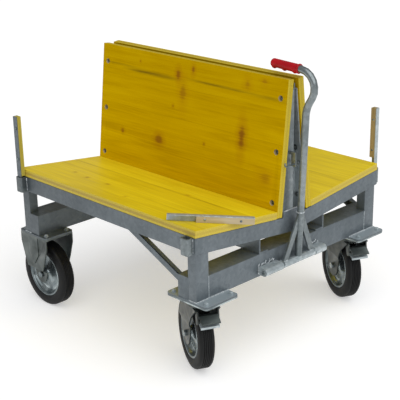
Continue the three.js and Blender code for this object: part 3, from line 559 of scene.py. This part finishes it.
def ring_stack(bm, matrix, rings, sides, turn=0.0):
    """Rings of (radius, height) stacked along the matrix's Z axis and closed at both ends."""
    loops = []
    for radius, height in rings:
        loop = []
        for k in range(sides):
            a = turn + 2 * math.pi * k / sides
            point = Vector((radius * math.cos(a), radius * math.sin(a), height)) * MM
            loop.append(bm.verts.new(matrix @ point))
        loops.append(loop)
    for low, high in zip(loops, loops[1:]):
        for k in range(sides):
            bm.faces.new((low[k], low[(k + 1) % sides], high[(k + 1) % sides], high[k]))
    bm.faces.new(list(reversed(loops[0])))
    bm.faces.new(loops[-1])


def column(outline, low, high):
    """An outline of (x, y) points raised from one height to another."""
    bm = bmesh.new()
    loops = [[bm.verts.new(Vector((x, y, z)) * MM) for x, y in outline] for z in (low, high)]
    for k in range(len(outline)):
        n = (k + 1) % len(outline)
        bm.faces.new((loops[0][k], loops[0][n], loops[1][n], loops[1][k]))
    bm.faces.new(list(reversed(loops[0])))
    bm.faces.new(loops[1])
    return bm


def pointing(place, direction):
    """A frame at a place whose Z axis points along a direction."""
    return Matrix.Translation(place) @ Vector(direction).to_track_quat("Z", "Y").to_matrix().to_4x4()


def hex_bolt(bm, place, direction, flats, height, stub=0.0, washer=True):
    """A hexagon head or nut, with a washer under it and the end of a thread above it."""
    frame_here = pointing(place, direction)
    corner = flats / math.sqrt(3)
    base = 0.0
    if washer:
        ring_stack(bm, frame_here, ((corner * 1.28, 0), (corner * 1.3, 0.4), (corner * 1.28, WASHER)), 20)
        base = WASHER
    top = base + height
    flank = (
        (corner * 0.96, base),
        (corner, base + 0.6),
        (corner, base + 0.8 * height),
        (corner * 0.86, top),
    )
    ring_stack(bm, frame_here, flank, 6, 0.3)
    if stub:
        thread = ((flats * 0.3, top - 1), (flats * 0.3, top + stub - 1), (flats * 0.24, top + stub))
        ring_stack(bm, frame_here, thread, 14)


def dome_head(bm, place, direction, radius, height):
    rings = [(radius, 0)]
    for k in range(1, 5):
        a = math.pi / 2 * k / 5
        rings.append((radius * math.cos(a), height * math.sin(a)))
    ring_stack(bm, pointing(place, direction), rings, 18)


def bead(bm, points, radius, seed):
    """A weld bead along a line of points: a run of overlapping drops."""
    step = radius * 0.55 * MM
    line = []
    for a, b in zip(points, points[1:]):
        count = max(2, int((b - a).length / step))
        line += [a.lerp(b, k / count) for k in range(count)]
    line.append(points[-1])
    loops = []
    for i, place in enumerate(line):
        ahead = (line[min(i + 1, len(line) - 1)] - line[max(i - 1, 0)]).normalized()
        frame_here = pointing(place, ahead)
        swell = 0.86 + 0.16 * math.sin(i * 1.9) + 0.25 * noise.noise(place * 90 + Vector((seed, 0, 0)))
        if i in (0, len(line) - 1):
            swell *= 0.45
        loop = []
        for k in range(8):
            a = 2 * math.pi * k / 8
            point = Vector((math.cos(a), math.sin(a), 0)) * radius * swell * MM
            loop.append(bm.verts.new(frame_here @ point))
        loops.append(loop)
    for low, high in zip(loops, loops[1:]):
        for k in range(8):
            bm.faces.new((low[k], low[(k + 1) % 8], high[(k + 1) % 8], high[k]))
    bm.faces.new(list(reversed(loops[0])))
    bm.faces.new(loops[-1])


# Boards

NEAR_KNOTS = (
    (0.30, 0.235, 0.014, 0.044, 0.95),
    (-0.14, 0.143, 0.017, 0.017, 0.8),
    (-0.36, 0.133, 0.007, 0.009, 0.75),
    (-0.05, 0.410, 0.011, 0.022, 0.9),
    (0.03, 0.443, 0.008, 0.016, 0.85),
    (-0.02, 0.350, 0.016, 0.040, 0.5),
    (0.31, 0.435, 0.014, 0.016, 0.5),
    (0.39, 0.452, 0.012, 0.010, 0.45),
    (0.43, 0.110, 0.028, 0.018, 0.45),
    (0.11, 0.172, 0.005, 0.006, 0.6),
    (-0.27, 0.433, 0.004, 0.005, 0.7),
    (-0.07, 0.288, 0.005, 0.006, 0.5),
)
FAR_KNOTS = (
    (-0.22, 0.300, 0.012, 0.030, 0.85),
    (0.18, 0.120, 0.013, 0.014, 0.8),
    (0.34, 0.390, 0.008, 0.012, 0.7),
    (-0.38, 0.080, 0.010, 0.012, 0.6),
    (0.02, 0.250, 0.006, 0.008, 0.7),
)
DECK_KNOTS = (
    (-0.33, -0.262, 0.006, 0.006, 0.55),
    (-0.24, -0.275, 0.007, 0.007, 0.6),
    (-0.12, -0.270, 0.007, 0.006, 0.6),
    (0.05, -0.330, 0.006, 0.006, 0.5),
    (0.33, -0.300, 0.005, 0.005, 0.55),
    (0.16, -0.120, 0.008, 0.007, 0.35),
)
BACK_TONES = ((0.45, 0.255, 0.0), (0.56, 0.335, 0.0), (0.63, 0.395, 0.001))
DECK_TONES = ((0.61, 0.44, 0.004), (0.75, 0.565, 0.006), (0.85, 0.665, 0.012))
NEAR_STREAKS = (
    (0.404, -0.49, -0.28, 0.006, 0.6),
    (0.392, -0.32, -0.06, 0.012, 0.95),
    (0.402, 0.05, 0.31, 0.008, 0.95),
    (0.397, 0.36, 0.48, 0.010, 0.85),
)
FAR_STREAKS = ((0.25, -0.3, 0.1, 0.005, 0.6),)
NEAR_DECK_STREAKS = ((-0.130, -0.47, 0.36, 0.006, 0.5), (-0.085, -0.1, 0.5, 0.004, 0.3))
FAR_DECK_STREAKS = ((-0.21, -0.4, 0.45, 0.005, 0.4),)
BOARD_LOOKS = {
    "near_back": yellow_board("near_back_glaze", True, NEAR_KNOTS, NEAR_STREAKS, BACK_TONES, 0.0),
    "far_back": yellow_board("far_back_glaze", True, FAR_KNOTS, FAR_STREAKS, BACK_TONES, 0.0),
    "near_deck": yellow_board("near_deck_glaze", False, DECK_KNOTS, NEAR_DECK_STREAKS, DECK_TONES, 0.3),
    "far_deck": yellow_board("far_deck_glaze", False, DECK_KNOTS[1:4], FAR_DECK_STREAKS, DECK_TONES, 0.3),
}
BORE_FACE_AREA = 0.001


def bare_bores(back, bores):
    """Bare wood on the small faces inside a back board's bolt holes."""
    back.data.materials.append(BARE)
    for face in back.data.polygons:
        c = face.center
        bored = any((c.x - x) ** 2 + (c.z - z) ** 2 < (BORE_REACH * MM) ** 2 for x, z in bores)
        if bored and face.area < BORE_FACE_AREA:
            face.material_index = 1


for side, sign in SIDES:
    matrix = bay_matrix(sign)
    dress(f"{side}_deck_board", BOARD_LOOKS[f"{side}_deck"], EDGE["board"], matrix)
    back = dress(f"{side}_back_board", BOARD_LOOKS[f"{side}_back"], EDGE["board"], matrix)
    bores = [(end * BOLT_X * MM, (BACK_TOP - drop) * MM) for end in (-1, 1) for drop in BOLT_DROPS]
    bare_bores(back, bores)
    bolts = bmesh.new()
    outwards = matrix.to_3x3() @ Vector((0, -1, 0))
    for x, z in bores:
        inside = matrix @ Vector((x, HEAD_RECESS * MM, z))
        behind = matrix @ Vector((x, (BOARD + UPRIGHT_WALL) * MM, z))
        dome_head(bolts, inside, outwards, *BOARD_HEAD)
        hex_bolt(bolts, behind, -outwards, *BOARD_NUT)
    add_piece(f"{side}_back_bolts", bolts, PRESSED_ZINC, "chassis")

# Frame members

SHAPED_BELOW = ("_board", "_fork", "_axle", "_swivel_plate", "_brace", "hinge_bracket", "hinge_pin")


def frame_look(node):
    # Painted light: the far front upright, in the shade between the boards, gets the palest steel, and the
    # uprights, ridge bar and pockets get the sheen steel.
    if node == "front_far_upright":
        return HIGHLIT_STEEL
    return SHEEN_STEEL if node.endswith(("ridge_bar", "_upright", "_pocket")) else STEEL


for node, body in BODY.items():
    if body == "chassis" and not node.endswith(SHAPED_BELOW):
        dress(node, frame_look(node), EDGE["frame"])
dress("catch_pin", ZINC, EDGE["catch"])

# Welds on the frame


def leg_welds(bm, end, sign, away):
    """Beads round a leg's foot, along its bolt plate, up its inner seam and beside its stake pocket."""
    face = sign * (LEG_FACE + WELD_GAP)
    outer = away * (LEG_FACE + WELD_GAP)
    inner = away * (LEG_FACE - LEG_WIDTH[end])
    plate_end = away * (CASTER_Y[end] - PLATE_HALF[end][1])
    foot = PLATE_TOP + 1
    bead(bm, [at(face, outer, foot), at(face, inner, foot)], BEAD["foot"], 1 + sign)
    bead(bm, [at(face, outer, foot), at(face - sign * LEG_DEPTH, outer, foot)], BEAD["foot"], 2 + away)
    bead(bm, [at(face, inner, foot), at(face, plate_end, foot)], BEAD["plate"], 5 + away)
    seam = [at(face - sign, inner, height) for height in (foot, BEAM_TOP - 1)]
    bead(bm, seam, BEAD["seam"], 7 + away)
    for edge in (-POCKET_HALF, POCKET_HALF):
        x = sign * POCKET_X + edge
        low, high = (at(x, away * POCKET_Y, POCKET_TOP - drop) for drop in POCKET_WELD)
        bead(bm, [low, high], BEAD["pocket"], 9 + edge)


def knuckle_welds(bm, start, end):
    """Rough drops on the beam above a knuckle, and a bead up its end."""
    face = LEG_FACE + 2
    for k in range(int((end - start) / DROP_STEP)):
        y = start + DROP_STEP * k
        low = HINGE_Z + KNUCKLE_RADIUS + 1.5 + 4 * math.sin(5.1 * k)
        high = low + 7 + 6 * math.sin(2.3 * k + start)
        bead(bm, [at(face, y, low), at(face, y + 5, high)], BEAD["drop"], k)
    reach = KNUCKLE_RADIUS - 1
    bead(bm, [at(face, start, HINGE_Z - reach), at(face, start, HINGE_Z + reach)], BEAD["knuckle"], start)


welds = bmesh.new()
for end, sign in ENDS:
    for side, away in SIDES:
        leg_welds(welds, end, sign, away)
    saddle = [at(sign * SADDLE_X, y, SADDLE_Z) for y in (-SADDLE_HALF, SADDLE_HALF)]
    bead(welds, saddle, BEAD["saddle"], 14 + sign)
for start, end in KNUCKLES:
    knuckle_welds(welds, start, end)
add_piece("frame_welds", welds, WELD, "chassis")

# Braces: steel angle with its flange along the upper edge

down = Vector((BRACE_FOOT[0] - BRACE_HEAD[0], 0, BRACE_FOOT[1] - BRACE_HEAD[1])).normalized()
upper = Vector((-down.z, 0, down.x))
ridge = at(BRACE_HEAD[0], 0, BRACE_HEAD[1]) - upper * BRACE_TRIM * MM
for side, away in SIDES:
    brace = solid_copy(f"{side}_brace")
    trim(brace, ridge, upper)
    flange = solid_copy(f"{side}_brace")
    trim(flange, ridge, upper)
    trim(flange, ridge - upper * BRACE_SHEET * MM, -upper)
    for vert in flange.verts:
        if abs(vert.co.y - ORIGIN.y) < (LEG_FACE - 2) * MM:
            vert.co.y = at(0, away * (LEG_FACE - BRACE_FLANGE), 0).y
    join(brace, flange)
    piece = add_piece(f"{side}_brace_dressed", brace, STEEL, "chassis")
    rounded(piece, EDGE["brace"])
    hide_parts(f"{side}_brace")

# Hinge: knuckles on the front beam, with the pin through them and the drawbar's sleeve between them

knuckle = [(LEG_FACE + WELD_GAP, HINGE_Z - KNUCKLE_RADIUS)]
for k in range(13):
    a = math.pi * (k / 12 - 0.5)
    knuckle.append((HINGE_X + KNUCKLE_RADIUS * math.cos(a), HINGE_Z + KNUCKLE_RADIUS * math.sin(a)))
knuckle.append((LEG_FACE + WELD_GAP, HINGE_Z + KNUCKLE_RADIUS))
height_to_y = Matrix(((1, 0, 0, 0), (0, 0, 1, 0), (0, 1, 0, 0), (0, 0, 0, 1)))
knuckles = bmesh.new()
for start, end in KNUCKLES:
    part = column(knuckle, start, end)
    part.transform(Matrix.Translation(ORIGIN) @ height_to_y)
    join(knuckles, part)
# The knuckles get the pale steel, a painted highlight.
piece = add_piece("hinge_knuckles", knuckles, HIGHLIT_STEEL, "chassis")
rounded(piece, EDGE["knuckle"])
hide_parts("hinge_bracket")

pin = bmesh.new()
pin_start = KNUCKLES[0][0] - PIN_STUB
pin_length = KNUCKLES[1][1] + PIN_STUB - pin_start
pin_tip = PIN_RADIUS - 1
pin_rings = ((pin_tip, 0), (PIN_RADIUS, 1), (PIN_RADIUS, pin_length - 1), (pin_tip, pin_length))
ring_stack(pin, pointing(at(HINGE_X, pin_start, HINGE_Z), (0, 1, 0)), pin_rings, 24)
piece = add_piece("hinge_pin_dressed", pin, ZINC, "chassis")
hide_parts("hinge_pin")

# Drawbar: the solid's bent tube above its weld, and below it a yoke of flat bars on the sleeve

STRUT_FOOT = STRUT_SPREAD * (APEX_Z - STRUT_END) / (APEX_Z - HINGE_Z)


def tube_x(z):
    """Where the leaning tube's middle is at a height."""
    return HINGE_X + (z - HINGE_Z) * LEAN


def flat_strut(bm, away):
    """A flat bar in the yoke's plane, from the sleeve up to the tube."""
    half = STRUT_WIDTH / 2
    foot = STRUT_FOOT
    corners = [(foot - half, STRUT_END), (foot + half, STRUT_END), (half, APEX_Z), (-half, APEX_Z)]
    loops = []
    for depth in (-STRUT_THICKNESS / 2, STRUT_THICKNESS / 2):
        loops.append([bm.verts.new(at(tube_x(z) + depth, away * y, z)) for y, z in corners])
    back, front = loops
    for k in range(4):
        n = (k + 1) % 4
        bm.faces.new((back[k], back[n], front[n], front[k]))
    bm.faces.new(list(reversed(back)))
    bm.faces.new(front)


drawbar = solid_copy("drawbar")
trim(drawbar, at(0, 0, YOKE_TOP), (0, 0, -1))
stem_foot = at(tube_x(STEM_FOOT), 0, STEM_FOOT)
stem = at(tube_x(YOKE_TOP), 0, YOKE_TOP) - stem_foot
ring_stack(drawbar, pointing(stem_foot, stem), ((TUBE_RADIUS, 0), (TUBE_RADIUS, stem.length / MM)), 32)
for side, away in SIDES:
    flat_strut(drawbar, away)
# The drawbar gets the sheen steel, a painted sheen along the tube.
piece = add_piece("drawbar_dressed", drawbar, SHEEN_STEEL, "drawbar")
rounded(piece, EDGE["drawbar"])
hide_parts("drawbar")

sleeve = solid_copy("drawbar")
trim(sleeve, at(0, 0, STEM_FOOT + 1), (0, 0, 1))
for side, away in SIDES:
    trim(sleeve, at(0, away * SLEEVE_HALF, 0), (0, away, 0))
# The sleeve gets the pale steel, a painted highlight.
piece = add_piece("drawbar_sleeve", sleeve, HIGHLIT_STEEL, "drawbar")
rounded(piece, EDGE["drawbar"])

welds = bmesh.new()
for side, away in SIDES:
    for edge in (-STRUT_THICKNESS / 2 - 1, STRUT_THICKNESS / 2 + 1):
        low, high = (away * (STRUT_FOOT + end) for end in STRUT_TOE)
        toe = [at(HINGE_X + edge, y, STEM_FOOT) for y in (low, high)]
        bead(welds, toe, BEAD["strut"], 30 + low)
ring = []
ring_radius = TUBE_RADIUS + 0.5
for k in range(17):
    a = 2 * math.pi * k / 16
    ring.append(at(tube_x(YOKE_TOP) + ring_radius * math.cos(a), ring_radius * math.sin(a), YOKE_TOP))
bead(welds, ring, BEAD["tube"], 40)
add_piece("drawbar_welds", welds, WELD, "drawbar")

# Stanchions: a steel angle with a wooden batten screwed into it
# In a stanchion's own frame Z runs up from its foot, and the batten's face looks towards +Y.


def loose_matrix():
    """The frame of the stanchion that lies loose on the near deck."""
    along = Vector((math.cos(LOOSE_TURN), math.sin(LOOSE_TURN), 0))
    across = Vector((math.sin(LOOSE_TURN), -math.cos(LOOSE_TURN), 0))
    x, y = LOOSE_PLACE
    middle = Vector((x, (y + BACK_FOOT) / math.cos(TILT), STAKE_WIDTH / 2 + LOOSE_LIFT))
    foot = middle - along * STAKE_LENGTH / 2 + across * LOOSE_SETBACK
    turn = Matrix((Vector((0, 0, 1)), across, along)).transposed().to_4x4()
    return bay_matrix(-1) @ Matrix.Translation(foot * MM) @ turn


def standing_matrix(sign, away):
    """The frame of a stanchion in its pocket."""
    place = at(sign * POCKET_X, away * (POCKET_Y + STAKE_DEPTH + STAKE_CLEARANCE), STAKE_FOOT)
    return Matrix.Translation(place) @ Matrix.Rotation(math.pi if away > 0 else 0, 4, "Z")


def stanchion(name, matrix, flange, steel, wood, wood_foot):
    """One stanchion. The flange is 1 or -1, for the side of the batten that the angle covers."""
    half, inner = STAKE_WIDTH / 2, STAKE_WIDTH / 2 - STAKE_WALL
    angle = [
        (-half, 0),
        (half, 0),
        (half, STAKE_DEPTH),
        (inner, STAKE_DEPTH),
        (inner, STAKE_WALL),
        (-half, STAKE_WALL),
    ]
    left, right, floor_y = -half, inner - STAKE_GAP, STAKE_WALL + STAKE_GAP
    batten = [(left, floor_y), (right, floor_y), (right, STAKE_DEPTH), (left, STAKE_DEPTH)]
    for label, outline, foot, material, slot, node in (
        ("angle", angle, 0, steel, "galvanised_steel", "tube"),
        ("batten", batten, wood_foot, wood, "pale_wood", "facing"),
    ):
        shape = column([(flange * x, y) for x, y in outline], foot, STAKE_LENGTH)
        piece = add_piece(f"{name}_{label}", shape, material, name, matrix)
        rounded(piece, EDGE[label])
        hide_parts(f"{name}_{node}")
    screws = bmesh.new()
    inwards = matrix.to_3x3() @ Vector((0, 1, 0))
    for height in STAKE_BOLTS:
        x = -flange * STAKE_WALL / 2
        face = matrix @ (Vector((x, STAKE_DEPTH, height)) * MM)
        back = matrix @ (Vector((x, 0, height)) * MM)
        dome_head(screws, face, inwards, *STAKE_HEAD)
        hex_bolt(screws, back, -inwards, *STAKE_NUT, washer=False)
    add_piece(f"{name}_screws", screws, ZINC, name)


# The front stanchions' angles get the pale steel, a painted highlight where they lie in the light; the rear
# ones get the plain steel.
stanchion("front_near_stanchion", loose_matrix(), 1, HIGHLIT_STEEL, BARE, WOOD_FOOT)
stanchion("front_far_stanchion", standing_matrix(1, 1), -1, HIGHLIT_STEEL, TANNED, WOOD_FOOT)
stanchion("rear_near_stanchion", standing_matrix(-1, -1), -1, STEEL, GLAZED, LONG_WOOD_FOOT)
stanchion("rear_far_stanchion", standing_matrix(-1, 1), 1, STEEL, GLAZED, LONG_WOOD_FOOT)

# Grip: its own X axis runs along the tube to the free end and its Z axis points down



def grip_radius(share, angle):
    """Radius at a share of the grip's length: a collar, a rounded nose, and finger waves underneath."""
    nose = max(0.0, (share - 0.94) / 0.06)
    body = GRIP_RADIUS * math.sqrt(max(0.0, 1 - 0.75 * nose * nose))
    collar = GRIP_COLLAR * math.exp(-(((share - 0.025) / 0.022) ** 2))
    wave = 0
    if 0.06 < share < 0.95:
        wave = max(0.0, math.sin(math.pi * (share * 5.4 - 0.35))) ** 2
    under = max(0.0, math.cos(angle)) ** 3
    return body + collar + GRIP_WAVE * wave * under + GRIP_RIPPLE * math.sin(share * 90) * (1 - under)


grip = bmesh.new()
rings = []
steps, around = 60, 28
for i in range(steps + 1):
    share = i / steps
    x = -GRIP_LENGTH + share * (GRIP_LENGTH + GRIP_NOSE)
    ring = []
    for k in range(around):
        a = 2 * math.pi * k / around
        r = grip_radius(share, a)
        ring.append(grip.verts.new(Vector((x, r * math.sin(a), r * math.cos(a))) * MM))
    rings.append(ring)
for one, two in zip(rings, rings[1:]):
    for k in range(around):
        grip.faces.new((one[k], one[(k + 1) % around], two[(k + 1) % around], two[k]))
grip.faces.new(rings[0])
grip.faces.new(list(reversed(rings[-1])))
tube_end = Matrix.Translation(at(GRIP_END_X, 0, GRIP_Z))
turn = Matrix.Rotation(math.pi + GRIP_RISE, 4, "Y")
piece = add_piece("moulded_grip", grip, RED, "drawbar", tube_end @ turn)
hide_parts("drawbar_grip")

# Wheels

# Outlines are half profiles of (radius, distance from the middle plane), in millimetres.
# The shoulder says how far the tyre lies inside its radius and its half width, from the wall to the tread.
TYRE_SEAT = ((95.3, 26.4), (98.5, 27.8), (104.0, 29.6))
SHOULDER = ((23.5, 0), (17.5, 0.3), (10.5, 1.4), (4.4, 4.0), (1.2, 7.6), (0, 11.2))
GROOVES = ((13.4, 2.0), (6.7, 2.0))
GROOVE_DEPTH = 2.8
MIDDLE_GROOVE = (2.0, 1.1)
RIM_HUB = ((8.4, 33.5), (19.0, 33.5), (21.5, 32.4), (22.0, 29.0), (23.0, 21.0), (26.5, 15.0))
RIM_DISH = ((34.0, 11.4), (46.0, 8.4), (60.0, 6.4), (70.0, 5.8), (78.0, 8.4), (83.0, 14.6))
RIM_LIP = ((85.6, 20.6), (87.2, 24.8), (89.8, 27.2), (93.2, 27.8), (95.0, 26.4))
TYRE_SIDES = 80
RIM_SIDES = 64


def mirrored(half):
    return list(half) + [(r, -y) for r, y in reversed(half)]


def tyre_profile():
    half = list(TYRE_SEAT)
    half += [(TYRE_RADIUS - drop, TYRE_HALF - inset) for drop, inset in SHOULDER]
    bottom = TYRE_RADIUS - GROOVE_DEPTH
    for middle, width in GROOVES:
        half += [
            (TYRE_RADIUS, middle + width),
            (bottom, middle + 0.55 * width),
            (bottom, middle - 0.55 * width),
            (TYRE_RADIUS, middle - width),
        ]
    half += [(TYRE_RADIUS, MIDDLE_GROOVE[0]), (bottom, MIDDLE_GROOVE[1])]
    return mirrored(half)


def wheel(name, matrix):
    tyre = lathe(tyre_profile(), TYRE_SIDES)
    piece = add_piece(f"{name}_ribbed_tyre", tyre, RUBBER, f"{name}_wheel", matrix)
    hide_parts(f"{name}_tyre")
    rim = lathe(mirrored(RIM_HUB + RIM_DISH + RIM_LIP), RIM_SIDES)
    piece = add_piece(f"{name}_dished_rim", rim, ZINC, f"{name}_wheel", matrix)
    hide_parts(f"{name}_rim")


def plate_bolts(name, end, x, y):
    """Bolts through the two plates of the caster whose plate has its middle at x, y."""
    bolts = bmesh.new()
    half_x, half_y = (half - PLATE_BOLT_INSET for half in PLATE_HALF[end])
    for u in (-half_x, half_x):
        for v in (-half_y, half_y):
            hex_bolt(bolts, at(x + u, y + v, PLATE_TOP), (0, 0, 1), *PLATE_NUT)
            hex_bolt(bolts, at(x + u, y + v, PLATE_UNDER), (0, 0, -1), *PLATE_HEAD)
    add_piece(f"{name}_plate_bolts", bolts, HIGHLIT_STEEL, "chassis")


for end, sign in ENDS:
    fork_look = PRESSED_ZINC if end == "rear" else DARK_ZINC
    for side, away in SIDES:
        name = f"{end}_{side}"
        swing, trail = SWING[end], TRAIL[end]
        x, y = sign * CASTER_X, away * CASTER_Y[end]
        axle = at(x - trail * math.cos(swing), y - trail * math.sin(swing), AXLE_HEIGHT)
        wheel(name, Matrix.Translation(axle) @ Matrix.Rotation(swing, 4, "Z"))
        dress(f"{name}_axle", ZINC, EDGE["axle"])
        dress(f"{name}_fork", fork_look, EDGE["fork"])
        plate_bolts(name, end, x, y)

# Front swivels: the raceway plate, and the pedal with its lower wing paler than its hood, a painted
# highlight

for side, away in SIDES:
    dress(f"front_{side}_swivel_plate", ZINC, EDGE["plate"])
    pedal = dress(f"front_{side}_brake_pedal", PRESSED_ZINC, EDGE["pedal"])
    # Painted highlight: faces below the wing's top get the pale steel, and those above keep the darker
    # pressed zinc.
    pedal.data.materials.append(HIGHLIT_STEEL)
    for face in pedal.data.polygons:
        face.material_index = int(face.center.z < PEDAL_WING_TOP * MM)

# Stage: a pale floor, a soft ceiling light, and a camera fitted to the photograph
# The floor's half width is in metres, and the camera's place in millimetres.

FLOOR_HALF = 40
WORLD_STRENGTH = 0.3
SUN_FROM = (0.6, -0.22, 0.85)
SUN_SPREAD = math.radians(80)
SUN_STRENGTH = 2.3
CAMERA_PLACE = (2772.4, -2673.1, 1833.3)
CAMERA_YAW = math.radians(135.949)
CAMERA_PITCH = math.radians(-19.824)
CAMERA_ROLL = math.radians(-1.013)
FOCAL_PIXELS = 1026.75
PHOTO_PIXELS = 400
SENSOR = 36

grid = bmesh.new()
bmesh.ops.create_grid(grid, x_segments=4, y_segments=4, size=FLOOR_HALF)
floor_mesh = bpy.data.meshes.new("floor")
grid.to_mesh(floor_mesh)
grid.free()
floor_mesh.materials.append(pale_floor())
floor = bpy.data.objects.new("floor", floor_mesh)
bpy.context.scene.collection.objects.link(floor)

world = bpy.data.worlds.new("studio")
world.use_nodes = True
world.node_tree.nodes["Background"].inputs["Color"].default_value = (1, 1, 1, 1)
world.node_tree.nodes["Background"].inputs["Strength"].default_value = WORLD_STRENGTH
bpy.context.scene.world = world

ceiling = bpy.data.lights.new("ceiling", "SUN")
ceiling.angle = SUN_SPREAD
ceiling.energy = SUN_STRENGTH
lamp = bpy.data.objects.new("ceiling", ceiling)
lamp.rotation_euler = Vector(SUN_FROM).to_track_quat("Z", "Y").to_euler()
bpy.context.scene.collection.objects.link(lamp)

bpy.context.scene.view_settings.view_transform = "Standard"

level = math.cos(CAMERA_PITCH)
ahead = Vector((level * math.cos(CAMERA_YAW), level * math.sin(CAMERA_YAW), math.sin(CAMERA_PITCH)))
right = ahead.cross(Vector((0, 0, 1))).normalized()
up = right.cross(ahead)
tilted_right = right * math.cos(CAMERA_ROLL) + up * math.sin(CAMERA_ROLL)
tilted_up = up * math.cos(CAMERA_ROLL) - right * math.sin(CAMERA_ROLL)
lens = bpy.data.cameras.new("camera")
lens.sensor_width = SENSOR
lens.lens = FOCAL_PIXELS / PHOTO_PIXELS * SENSOR
lens.clip_end = 200
camera = bpy.data.objects.new("camera", lens)
axes = Matrix((tilted_right, tilted_up, -ahead)).transposed().to_4x4()
camera.matrix_world = Matrix.Translation(at(*CAMERA_PLACE)) @ axes
bpy.context.scene.collection.objects.link(camera)
bpy.context.scene.camera = camera
